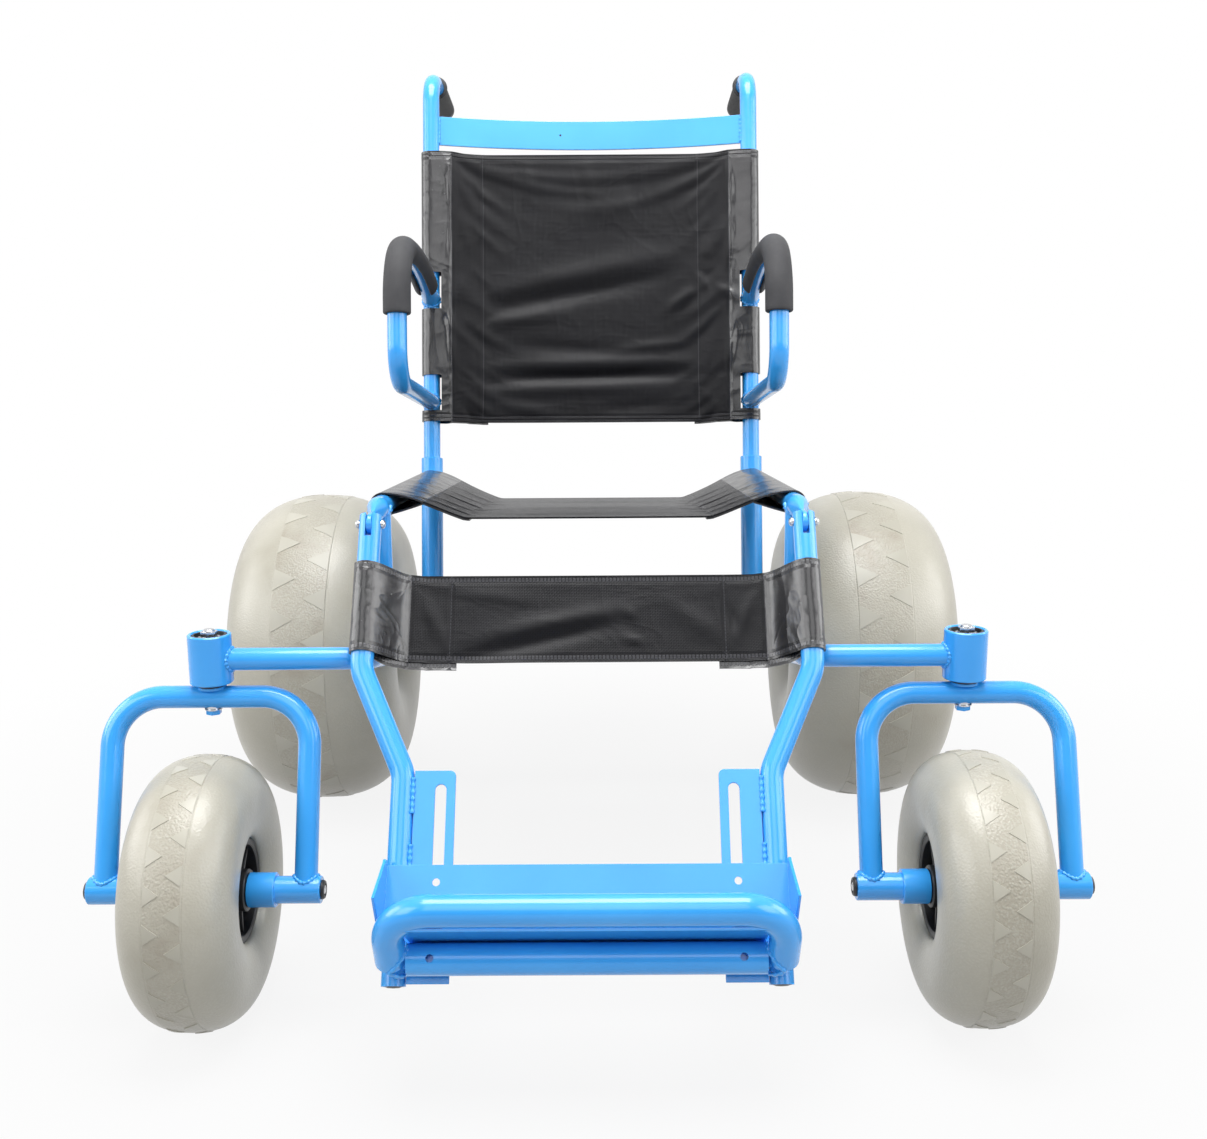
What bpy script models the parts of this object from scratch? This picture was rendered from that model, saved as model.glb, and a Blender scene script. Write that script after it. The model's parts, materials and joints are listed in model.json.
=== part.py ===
"""Beach wheelchair with balloon tyres, modelled in Blender.

Metres, +Z up. The chair faces -Y, the floor is z = 0 and the sitter's left is +X.
Run it with: blender --background --python part.py
"""
import math

import bmesh
import bpy
from mathutils import Matrix, Vector

# Clearances
GAP = 0.0003                     # between pieces that touch
RUNNING_GAP = 0.0006             # between pieces that slide or turn on each other
OVERLAP = 0.002                  # how far welded shapes run into each other
CUT_PAST = 0.010                 # how far a cutter runs past what it cuts

# Tube stock
TUBE_R = 0.0127                  # main frame tube
SOCKET_R = 0.0165                # wider tube the canes slide into
AXLE_TUBE_R = 0.0159
GUARD_R = 0.0160                 # foot guard and foot cross tube
TUBE_BEND = 0.045                # usual bend radius, to the tube's centre line

# Side planes and wheel positions
SIDE_X = 0.247                   # seat rails, canes, armrests and leg tops
REAR_WHEEL_X = 0.4274
CASTER_X = 0.422
REAR_AXLE_Y = 0.3256
WHEELBASE = 0.720
CASTER_TRAIL = 0.070

# Wheels
TYRE_WALL = 0.006
TYRE_FULLNESS = 2.3              # power of the tyre's rounded section, 2 is an ellipse
HUB_RIM = 0.008
REAR_WHEEL_R = 0.245
REAR_TYRE_HALF_W = 0.126
REAR_TYRE_WIDEST_R = 0.135
REAR_BEAD_R = 0.060
REAR_BEAD_X = 0.092
REAR_WEB_HALF = 0.062
REAR_BOSS_R = 0.030
REAR_HUB_HALF = 0.098
REAR_TYRE_STEPS = 28
FRONT_WHEEL_R = 0.149
FRONT_TYRE_HALF_W = 0.0595
FRONT_TYRE_WIDEST_R = 0.095
FRONT_BEAD_R = 0.057
FRONT_BEAD_X = 0.045
FRONT_WEB_HALF = 0.016
FRONT_BOSS_R = 0.023
FRONT_HUB_HALF = 0.048
FRONT_TYRE_STEPS = 24

# Rear axle
AXLE_TUBE_HALF = 0.285
AXLE_SHAFT_R = 0.0125
AXLE_SHAFT_INSET = 0.110
AXLE_SHOULDER_R = 0.020
BUSH_R = 0.019
BUSH_FLANGE_R = 0.027
BUSH_FLANGE_T = 0.003
COLLAR_R = 0.022
COLLAR_W = 0.014
AXLE_END = 0.006                 # how far the shaft stands out of its collar

# Caster fork and head tube
FORK_HALF = 0.1105
FORK_BEND = 0.055
CROWN_Z = 0.3495
SLEEVE_R = 0.015
SLEEVE_INNER = 0.0765
SLEEVE_OUTER = 0.128
SPACER_R = 0.019
CASTER_BOLT_R = 0.006
CASTER_BOLT_HEAD_R = 0.0105
CASTER_BOLT_HEAD_T = 0.0045
HEAD_R = 0.024
HEAD_WALL = 0.0042
HEAD_LOW_Z = 0.3665
HEAD_HIGH_Z = 0.4225
HEAD_FLANGE_T = 0.003
HEAD_FLANGE_INSET = 0.002        # bush flange inside the head tube's outer radius
STEM_R = 0.008
STEM_HEAD_R = 0.0105
STEM_HEAD_T = 0.006
STEM_NUT_R = 0.0125
STEM_NUT_T = 0.007
STEM_END = 0.002

# Side rail
ARM_Z = 0.393
ARM_BEND = 0.032

# Backrest
RECLINE = math.radians(12.05)
BACK_REF_Y = -0.0595             # cane line behind the rear axle at BACK_REF_Z
BACK_REF_Z = 0.500
SOCKET_TOP = 0.0552              # heights along the cane from the reference point
CANE_FOOT = -0.107
CANE_CORNER = 0.652
HANDLE_REACH = 0.178
HANDLE_RISE = math.radians(4.35)
GRIP_LENGTH = 0.119
GRIP_WALL = 0.0033
GRIP_FLANGE = 0.0022
GRIP_FLANGE_T = 0.002
GRIP_END = 0.009
GRIP_STEPS = 14
CROSSBAR_LOW = 0.5445
CROSSBAR_HIGH = 0.589
CROSSBAR_T = 0.005
CROSSBAR_BOW = 0.029
KNOB_HEIGHT = 0.0164
KNOB_R = 0.010
KNOB_T = 0.009
KNOB_CHAMFER = 0.002
KNOB_STEM_R = 0.004

# Armrest loop, in the backrest's own frame
ARM_HIGH = 0.2996
ARM_ARCH_REACH = 0.165
ARM_ARCH_HIGH = 0.3215
ARM_ARCH_BEND = 0.600
ARM_FRONT_REACH = 0.341
ARM_FRONT_HIGH = 0.297
ARM_FRONT_BEND = 0.075
ARM_LOW_REACH = 0.335
ARM_LOW_CORNER = 0.119
ARM_LOW = 0.1421
PAD_WALL = 0.005
PAD_START = 0.064                # along the loop from the cane's centre line
PAD_LENGTH = 0.345
PAD_SLIT_HALF = 0.007

# Slings
SLING_T = 0.0022
SLING_LAY = 0.45                 # where the panel meets its sleeve, as a share of the sleeve's wall
BACK_SLING_LOW = 0.1115
BACK_SLING_HIGH = 0.530
BACK_SLING_SAG = 0.014
BACK_SLING_SHOULDER = 0.090
NOTCHES = ((0.1280, 0.1831), (0.2855, 0.3421))
NOTCH_DEPTH = 0.022

# Seat
SEAT_REAR_Z = 0.5225
SEAT_FRONT = 0.530               # front post ahead of the rear axle
SEAT_FRONT_Z = 0.547
SEAT_SLING_FRONT = 0.018         # sling's front edge behind the front post
SEAT_SLING_REAR = 0.030          # sling's rear edge ahead of the cane line
SEAT_SLING_SAG = 0.032
SEAT_SLING_SHOULDER = 0.110
CROSS_TUBE_Z = 0.425

# Leg rest, in its own frame: down the legs is -Z, forward of them is -Y
LEG_PIVOT = 0.595                # ahead of the rear axle
LEG_PIVOT_Z = 0.536
LEG_RAKE = math.radians(31.0)
LEG_TOP = 0.010
LEG_BEND_1 = 0.1724
LEG_BEND_2 = 0.2867
LEG_END = 0.5025
LEG_LOW_X = 0.1955
TAB_HALF_T = 0.0035
TAB_TIP_R = 0.0125
TAB_FLAT = 0.017
TAB_SQUARENESS = 0.55
TAPER_SHARES = (0.35, 0.70, 1.00)
TAPER_POWER = 1.6
TAB_TIP_DEGREES = (0, 25, 50, 75)
EAR_SLOT_DEPTH = 0.0185
PIVOT_BOLT_R = 0.004
PIVOT_HEAD_R = 0.0065
PIVOT_HEAD_T = 0.0055
STRAP_TOP = 0.049
STRAP_BOTTOM = 0.153
STRAP_SAG = 0.0505
STRAP_SHOULDER = 0.047

# Slotted plates
PLATE_TOP = 0.2845
PLATE_BOTTOM = 0.5005
PLATE_INNER_X = 0.139
PLATE_T = 0.005
PLATE_Y = -0.004
SLOT_X = 0.1545
SLOT_HALF_W = 0.006
SLOT_TOP = 0.299
SLOT_BOTTOM = 0.470

# Foot tray
TRAY_T = 0.003
TRAY_HALF_W = 0.2085
TRAY_TOP = 0.384
TRAY_FOLD = 0.462
CHEEK_TOP_DEPTH = 0.013
CHEEK_RISE = 0.005
GUARD_X = 0.1945
GUARD_Y = -0.0917
GUARD_DOWN = 0.4374
FOOT_TUBE_Y = -0.030
FOOT_TUBE_DOWN = 0.478
TRAY_HOLE_R = 0.004
TRAY_HOLE_DOWN = 0.4015
CLAMP_BOLT_R = 0.004
CLAMP_HEAD_R = 0.0085
CLAMP_HEAD_T = 0.004
CLAMP_SPACER_R = 0.0075
CLAMP_STRIP_HALF_W = 0.010
CLAMP_STRIP_T = 0.004
CLAMP_MARGIN = 0.012
CLAMP_DOWN = (0.424, 0.448)

# Worked-out places
REAR_AXLE_Z = REAR_WHEEL_R
FRONT_AXLE_Z = FRONT_WHEEL_R
FRONT_AXLE_Y = REAR_AXLE_Y - WHEELBASE
STEM_Y = FRONT_AXLE_Y + CASTER_TRAIL
POST_Y = REAR_AXLE_Y - SEAT_FRONT
PIVOT_Y = REAR_AXLE_Y - LEG_PIVOT

SIDES = (("left", 1.0), ("right", -1.0))
STANDING = Matrix(((0, 0, 1, 0), (1, 0, 0, 0), (0, 1, 0, 0), (0, 0, 0, 1)))   # outline x, y becomes y, z

# Looks: colour, roughness and metallic value
PAINT = ((0.02, 0.28, 0.85, 1.0), 0.25, 0.0)
FABRIC = ((0.02, 0.02, 0.022, 1.0), 0.55, 0.0)
FOAM = ((0.06, 0.06, 0.062, 1.0), 0.80, 0.0)
PLASTIC = ((0.02, 0.02, 0.022, 1.0), 0.45, 0.0)
METAL = ((0.62, 0.63, 0.65, 1.0), 0.30, 1.0)
RUBBER = ((0.50, 0.48, 0.44, 1.0), 0.55, 0.0)


def collection(name):
    """Make a collection under the scene's own."""
    made = bpy.data.collections.new(name)
    bpy.context.scene.collection.children.link(made)
    return made


for leftover in list(bpy.data.objects):
    bpy.data.objects.remove(leftover, do_unlink=True)
PARTS = collection("beach_wheelchair")
CUTTERS = collection("cutters")


def empty(name, location, parent=None, tilt=0.0):
    """Make a named frame, turned about X by tilt."""
    made = bpy.data.objects.new(name, None)
    made.location = location
    made.rotation_euler = (tilt, 0.0, 0.0)
    made.parent = parent
    PARTS.objects.link(made)
    return made


def material(name, look):
    """Make a Principled material."""
    colour, roughness, metallic = look
    made = bpy.data.materials.new(name)
    made.use_nodes = True
    shader = made.node_tree.nodes["Principled BSDF"]
    shader.inputs["Base Color"].default_value = colour
    shader.inputs["Roughness"].default_value = roughness
    shader.inputs["Metallic"].default_value = metallic
    return made


def add(name, data, parent, look):
    """Link a mesh or curve as a sub-part with a material of its own."""
    made = bpy.data.objects.new(name, data)
    made.parent = parent
    PARTS.objects.link(made)
    data.materials.append(material(name, look))
    if isinstance(data, bpy.types.Mesh):
        data.shade_smooth()
        data.set_sharp_from_angle(angle=math.radians(40))
    return made


def rounded_path(corners, bend, step=math.radians(22.5)):
    """Points along a line through corners, each corner rounded to its bend radius."""
    corners = [Vector(corner) for corner in corners]
    bends = bend if isinstance(bend, list) else [bend] * (len(corners) - 2)
    points = [corners[0]]
    for before, corner, after, radius in zip(corners, corners[1:], corners[2:], bends):
        come = (before - corner).normalized()
        go = (after - corner).normalized()
        turn = math.pi - come.angle(go)
        centre = corner + (come + go).normalized() * radius / math.cos(turn / 2)
        start = corner + come * radius * math.tan(turn / 2) - centre
        axis = come.cross(go).normalized()
        count = max(2, math.ceil(turn / step))
        for index in range(count + 1):
            points.append(centre + Matrix.Rotation(-turn * index / count, 3, axis) @ start)
    points.append(corners[-1])
    return points


def stretch(points, begin, length):
    """The part of a path that starts at one distance along it and has the given length."""
    found, travelled = [], 0.0
    for first, second in zip(points, points[1:]):
        size = (second - first).length
        for mark in (begin, begin + length):
            if travelled <= mark < travelled + size:
                found.append(first.lerp(second, (mark - travelled) / size))
        if begin < travelled + size < begin + length:
            found.append(second)
        travelled += size
    return found


def tube_curve(name, points, radius, resolution=4):
    """A round rod along points, as curve data."""
    curve = bpy.data.curves.new(name, "CURVE")
    curve.dimensions = "3D"
    curve.use_fill_caps = True
    curve.bevel_depth = radius
    curve.bevel_resolution = resolution
    spline = curve.splines.new("POLY")
    spline.points.add(len(points) - 1)
    for spot, point in zip(spline.points, points):
        spot.co = (*point, 1.0)
    return curve


def flat_curve(name, outline, thickness):
    """A flat outline of x, y points with a thickness about z = 0, as curve data."""
    curve = bpy.data.curves.new(name, "CURVE")
    curve.dimensions = "2D"
    curve.fill_mode = "BOTH"
    curve.extrude = thickness / 2
    spline = curve.splines.new("POLY")
    spline.use_cyclic_u = True
    spline.points.add(len(outline) - 1)
    for spot, (x, y) in zip(spline.points, outline):
        spot.co = (x, y, 0.0, 1.0)
    return curve


def meshed(curve):
    """Turn curve data into a closed mesh."""
    holder = bpy.data.objects.new(curve.name, curve)
    CUTTERS.objects.link(holder)
    graph = bpy.context.evaluated_depsgraph_get()
    mesh = bpy.data.meshes.new_from_object(holder.evaluated_get(graph))
    bpy.data.objects.remove(holder)
    shape = bmesh.new()
    shape.from_mesh(mesh)
    bmesh.ops.remove_doubles(shape, verts=shape.verts, dist=0.00005)
    bmesh.ops.recalc_face_normals(shape, faces=shape.faces)
    shape.to_mesh(mesh)
    shape.free()
    return mesh


def tube_mesh(name, points, radius, resolution=4):
    """A round rod along points, as a mesh."""
    return meshed(tube_curve(name, points, radius, resolution))


def plate_mesh(name, outline, low, high, upright=None):
    """An outline of x, y points from z = low to z = high, laid over by a matrix if one is given."""
    mesh = meshed(flat_curve(name, outline, high - low))
    mesh.transform(Matrix.Translation((0.0, 0.0, (low + high) / 2)))
    if upright is not None:
        mesh.transform(upright)
    return mesh


def bar_mesh(name, start, end, radius, sides=16):
    """A straight cylinder between two points."""
    start, end = Vector(start), Vector(end)
    mesh = bpy.data.meshes.new(name)
    shape = bmesh.new()
    bmesh.ops.create_cone(shape, cap_ends=True, segments=sides, radius1=radius, radius2=radius,
                          depth=(end - start).length)
    shape.to_mesh(mesh)
    shape.free()
    mesh.transform((end - start).to_track_quat("Z", "Y").to_matrix().to_4x4())
    mesh.transform(Matrix.Translation((start + end) / 2))
    return mesh


def channel_mesh(name, points, inner, outer, slit_half, steps=10):
    """A round channel along a path of equal x, open along the inside of its turns."""
    section = []
    for radius in (inner, outer):
        begin = math.asin(slit_half / radius)
        pitch = 2 * (math.pi - begin) / steps
        reach = radius / math.cos(pitch / 2) if radius == inner else radius
        arc = [(reach * math.cos(begin + pitch * index), reach * math.sin(begin + pitch * index))
               for index in range(steps + 1)]
        section += arc[::-1] if section else arc
    mesh = bpy.data.meshes.new(name)
    shape = bmesh.new()
    rings = []
    for before, point, after in zip([points[0], *points], points, [*points[1:], points[-1]]):
        come, go = (point - before).normalized(), (after - point).normalized()
        way = (come + go).normalized()
        inward = Vector((0.0, -way.z, way.y)) / max(way.dot(come), way.dot(go))
        rings.append([shape.verts.new(point + inward * near + Vector((far, 0.0, 0.0))) for near, far in section])
    count = len(section)
    for ring, other in zip(rings, rings[1:]):
        for index in range(count):
            follow = (index + 1) % count
            shape.faces.new((ring[index], ring[follow], other[follow], other[index]))
    for ring in (rings[0], rings[-1]):
        for index in range(steps):
            shape.faces.new((ring[index], ring[index + 1], ring[count - 2 - index], ring[count - 1 - index]))
    bmesh.ops.recalc_face_normals(shape, faces=shape.faces)
    shape.to_mesh(mesh)
    shape.free()
    return mesh


def hole_mesh(name, start, end, radius, sides=16):
    """A straight cutter between two points, whose flats reach the radius."""
    return bar_mesh(name, start, end, radius / math.cos(math.pi / sides), sides)


def box_mesh(name, first, second):
    """A block between two opposite corners."""
    first, second = Vector(first), Vector(second)
    size = [abs(side) for side in second - first]
    mesh = bpy.data.meshes.new(name)
    shape = bmesh.new()
    bmesh.ops.create_cube(shape, size=1.0)
    shape.to_mesh(mesh)
    shape.free()
    mesh.transform(Matrix.Diagonal((*size, 1.0)))
    mesh.transform(Matrix.Translation((first + second) / 2))
    return mesh


def lathe(name, profile, parent, look, steps=16, along_x=False, centre=(0.0, 0.0, 0.0), start=0.0):
    """Turn a profile of radius, height points about Z, or about X. One on the axis at both ends stays open."""
    loop = profile[1:] + profile[:1]
    area = sum(r1 * z2 - r2 * z1 for (r1, z1), (r2, z2) in zip(profile, loop))
    if area > 0:
        profile = profile[::-1]
    solid = profile[0][0] == 0.0 and profile[-1][0] == 0.0
    count = len(profile)
    mesh = bpy.data.meshes.new(name)
    edges = [(index, (index + 1) % count) for index in range(count - 1 if solid else count)]
    mesh.from_pydata([(radius, 0.0, height) for radius, height in profile], edges, [])
    mesh.transform(Matrix.Rotation(start, 4, "Z"))
    made = bpy.data.objects.new(name, mesh)
    made.parent = parent
    made.location = centre
    made.rotation_euler = (0.0, math.pi / 2 if along_x else 0.0, 0.0)
    PARTS.objects.link(made)
    mesh.materials.append(material(name, look))
    turned = made.modifiers.new("Turn", "SCREW")
    turned.steps = steps
    turned.render_steps = steps
    turned.use_merge_vertices = True
    turned.merge_threshold = 0.00001
    turned.use_smooth_shade = True
    return made


def boolean(obj, mesh, operation):
    """Cut obj with a mesh, or join the mesh to it. The mesh is in the frame of obj's parent."""
    tool = bpy.data.objects.new(f"{obj.name}_{operation.lower()}_{len(obj.modifiers)}", mesh)
    tool.parent = obj.parent
    tool.display_type = "WIRE"
    tool.hide_render = True
    CUTTERS.objects.link(tool)
    step = obj.modifiers.new(operation.title(), "BOOLEAN")
    step.operation = operation
    step.solver = "EXACT"
    step.object = tool


def cut(obj, mesh):
    """Cut a mesh away from obj."""
    boolean(obj, mesh, "DIFFERENCE")


def weld(obj, mesh):
    """Join a mesh to obj."""
    boolean(obj, mesh, "UNION")


def side_line(y):
    """Height of the side rail's centre line at y."""
    return ARM_Z + (REAR_AXLE_Z - ARM_Z) * (y - STEM_Y) / (REAR_AXLE_Y - STEM_Y)


def back_point(along):
    """World y, z of the cane line at a distance along it from its reference point."""
    return (REAR_AXLE_Y + BACK_REF_Y + along * math.sin(RECLINE), BACK_REF_Z + along * math.cos(RECLINE))


def cane_y(z):
    """World y of the cane line at height z."""
    return REAR_AXLE_Y + BACK_REF_Y + (z - BACK_REF_Z) * math.tan(RECLINE)


SEAT_REAR_Y = cane_y(SEAT_REAR_Z)


def seat_height(y):
    """Height of the seat rail's centre line at y."""
    return SEAT_REAR_Z + (SEAT_FRONT_Z - SEAT_REAR_Z) * (SEAT_REAR_Y - y) / (SEAT_REAR_Y - POST_Y)


def socket_foot():
    """Distance along the cane line at which it meets the side rail's centre line."""
    slope = (REAR_AXLE_Z - ARM_Z) / (REAR_AXLE_Y - STEM_Y)
    start_y, start_z = back_point(0.0)
    return (side_line(start_y) - start_z) / (math.cos(RECLINE) - slope * math.sin(RECLINE))


def sling_outline(tube_r, sag, shoulder):
    """Thick outline of a sagging panel whose ends lie on the front (-y) of two tubes."""
    start = tube_r + RUNNING_GAP + SLING_T * SLING_LAY
    steps = 4
    line = []
    for index in range(steps):
        share = index / (steps - 1)
        line.append((SIDE_X - shoulder * share, -start + sag * (1 - math.cos(math.pi * share)) / 2))
    line += [(-x, y) for x, y in reversed(line)]
    front = [(x, y - SLING_T / 2) for x, y in line]
    back = [(x, y + SLING_T / 2) for x, y in reversed(line)]
    return front + back


def sling(name, parent, low, high, sag, shoulder, notches=()):
    """A fabric panel across two tubes, with a sleeve round each of them."""
    made = add(name, plate_mesh(name, sling_outline(TUBE_R, sag, shoulder), low, high), parent, FABRIC)
    bore = TUBE_R + RUNNING_GAP
    for _side, sign in SIDES:
        x = sign * SIDE_X
        weld(made, bar_mesh(name, (x, 0, low), (x, 0, high), bore + SLING_T, 14))
    for _side, sign in SIDES:
        x = sign * SIDE_X
        cut(made, hole_mesh(name, (x, 0, low - CUT_PAST), (x, 0, high + CUT_PAST), bore, 14))
        for bottom, top in notches:
            cut(made, box_mesh(name, (x - NOTCH_DEPTH, -NOTCH_DEPTH, bottom), (x + NOTCH_DEPTH, NOTCH_DEPTH, top)))


def tyre_profile(radius, half, widest, bead_r, bead_x, facets):
    """Closed section of a hollow balloon tyre, open towards the hub, whose flats reach the radii given."""
    crown = radius / math.cos(math.pi / facets)
    bead_r = bead_r / math.cos(math.pi / facets)
    power = 2 / TYRE_FULLNESS
    outer = []
    for index in range(5):
        angle = math.pi / 2 * index / 4
        outer.append((widest + (crown - widest) * math.cos(angle) ** power, half * math.sin(angle) ** power))
    for index in (1, 2):
        angle = math.pi / 2 * index / 2
        outer.append((widest - (widest - bead_r) * math.sin(angle), bead_x + (half - bead_x) * math.cos(angle)))
    inner = [(crown - TYRE_WALL, half / 3), (widest, half - TYRE_WALL), (bead_r, bead_x - TYRE_WALL)]
    return outer[::-1] + [(r, -x) for r, x in outer[1:]] + [(r, -x) for r, x in inner[::-1]] + inner


def hub_profile(radius, half, web_half, boss_r, boss_half, bore_r):
    """Closed section of a dished hub with a central boss and bore."""
    rim = radius - HUB_RIM
    return [(radius, half), (radius, -half), (rim, -half), (rim, -web_half), (boss_r, -web_half),
            (boss_r, -boss_half), (bore_r, -boss_half), (bore_r, boss_half), (boss_r, boss_half),
            (boss_r, web_half), (rim, web_half), (rim, half)]


def ring_profile(inner, outer, low, high):
    """Closed section of a plain ring."""
    return [(outer, high), (outer, low), (inner, low), (inner, high)]


def build_rear_axle():
    """Axle tube with its two shafts, collars, wheels and bushes."""
    y, z = REAR_AXLE_Y, REAR_AXLE_Z
    axle = add("rear_axle_tube", bar_mesh("axle", (-AXLE_TUBE_HALF, y, z), (AXLE_TUBE_HALF, y, z), AXLE_TUBE_R),
               None, PAINT)
    inner_end = AXLE_TUBE_HALF - AXLE_SHAFT_INSET
    hub_in = REAR_WHEEL_X - REAR_HUB_HALF
    flange_out = REAR_WHEEL_X + REAR_HUB_HALF + GAP + BUSH_FLANGE_T
    collar_in = flange_out + GAP
    shaft_out = collar_in + COLLAR_W + AXLE_END
    for side, sign in SIDES:
        cut(axle, hole_mesh("bore", (sign * inner_end, y, z), (sign * (AXLE_TUBE_HALF + CUT_PAST), y, z),
                           AXLE_SHAFT_R + GAP))
        shaft = [(0.0, inner_end + GAP), (AXLE_SHAFT_R, inner_end + GAP), (AXLE_SHAFT_R, AXLE_TUBE_HALF + GAP),
                 (AXLE_SHOULDER_R, AXLE_TUBE_HALF + GAP), (AXLE_SHOULDER_R, hub_in - GAP),
                 (AXLE_SHAFT_R, hub_in - GAP), (AXLE_SHAFT_R, shaft_out), (0.0, shaft_out)]
        lathe(f"rear_axle_shaft_{side}", mirrored(shaft, sign), None, METAL, 16, True, (0.0, y, z))
        lathe(f"axle_collar_{side}",
              mirrored(ring_profile(AXLE_SHAFT_R + GAP, COLLAR_R, collar_in, collar_in + COLLAR_W), sign),
              None, METAL, 16, True, (0.0, y, z))
        frame = empty(f"rear_wheel_{side}", (sign * REAR_WHEEL_X, y, z))
        tyre = tyre_profile(REAR_WHEEL_R, REAR_TYRE_HALF_W, REAR_TYRE_WIDEST_R, REAR_BEAD_R, REAR_BEAD_X,
                            REAR_TYRE_STEPS)
        lathe(f"rear_tyre_{side}", tyre, frame, RUBBER, REAR_TYRE_STEPS, True, start=math.pi / REAR_TYRE_STEPS)
        hub = hub_profile(REAR_BEAD_R - GAP, REAR_BEAD_X, REAR_WEB_HALF, REAR_BOSS_R, REAR_HUB_HALF, BUSH_R + GAP)
        lathe(f"rear_hub_{side}", hub, frame, PLASTIC, 20, True)
        bore = AXLE_SHAFT_R + GAP
        bush = [(bore, -REAR_HUB_HALF), (BUSH_R, -REAR_HUB_HALF), (BUSH_R, REAR_HUB_HALF + GAP),
                (BUSH_FLANGE_R, REAR_HUB_HALF + GAP), (BUSH_FLANGE_R, REAR_HUB_HALF + GAP + BUSH_FLANGE_T),
                (bore, REAR_HUB_HALF + GAP + BUSH_FLANGE_T)]
        lathe(f"rear_bush_{side}", mirrored(bush, sign), frame, METAL, 16, True)


def mirrored(profile, sign):
    """A turned profile with its heights on the side that sign says."""
    return [(radius, sign * height) for radius, height in profile]


def build_side_frame(side, sign):
    """Side rail with caster arm, head tube and bush, front post, back socket and seat rail of one side."""
    x = sign * SIDE_X
    head = (sign * CASTER_X, STEM_Y)
    corners = [(head[0], STEM_Y, ARM_Z), (x, STEM_Y, ARM_Z), (x, REAR_AXLE_Y, REAR_AXLE_Z)]
    rail_line = corners[1:]
    rail = add(f"side_rail_{side}", tube_mesh("rail", rounded_path(corners, ARM_BEND), TUBE_R), None, PAINT)
    cut(rail, hole_mesh("head", (*head, HEAD_LOW_Z), (*head, HEAD_HIGH_Z), HEAD_R + GAP))
    cut(rail, hole_mesh("axle", (x - 2 * TUBE_R, REAR_AXLE_Y, REAR_AXLE_Z), (x + 2 * TUBE_R, REAR_AXLE_Y, REAR_AXLE_Z),
                       AXLE_TUBE_R + GAP))

    lathe(f"head_tube_{side}", ring_profile(HEAD_R - HEAD_WALL, HEAD_R, HEAD_LOW_Z, HEAD_HIGH_Z), None, PAINT,
          20, centre=(*head, 0.0))
    bore, body, flange = STEM_R + GAP, HEAD_R - HEAD_WALL - GAP, HEAD_R - HEAD_FLANGE_INSET
    low, high = HEAD_LOW_Z - GAP, HEAD_HIGH_Z + GAP
    bush = [(bore, low - HEAD_FLANGE_T), (flange, low - HEAD_FLANGE_T), (flange, low), (body, low), (body, high),
            (flange, high), (flange, high + HEAD_FLANGE_T), (bore, high + HEAD_FLANGE_T)]
    lathe(f"head_bush_{side}", bush, None, PLASTIC, 16, centre=(*head, 0.0))

    post = add(f"front_post_{side}",
               bar_mesh("post", (x, POST_Y, side_line(POST_Y)), (x, POST_Y, SEAT_FRONT_Z), TUBE_R), None, PAINT)
    cut(post, hole_mesh("rail", *rail_line, TUBE_R + GAP))
    front_y = POST_Y - 2 * TUBE_R
    cut(post, hole_mesh("seat", (x, SEAT_REAR_Y, SEAT_REAR_Z), (x, front_y, seat_height(front_y)), TUBE_R + GAP))

    foot = (x, *back_point(socket_foot()))
    socket = add(f"back_socket_{side}", bar_mesh("socket", foot, (x, *back_point(SOCKET_TOP)), SOCKET_R), None, PAINT)
    cut(socket, hole_mesh("rail", *rail_line, TUBE_R + GAP))
    cut(socket, hole_mesh("bore", (x, *back_point(CANE_FOOT - GAP)), (x, *back_point(SOCKET_TOP + CUT_PAST)),
                         TUBE_R + RUNNING_GAP))
    knob = (x, *back_point(KNOB_HEIGHT))
    cut(socket, hole_mesh("thread", knob, (x - sign * 2 * SOCKET_R, *knob[1:]), KNOB_STEM_R + GAP, 16))
    build_seat_rail(side, x)


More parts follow.
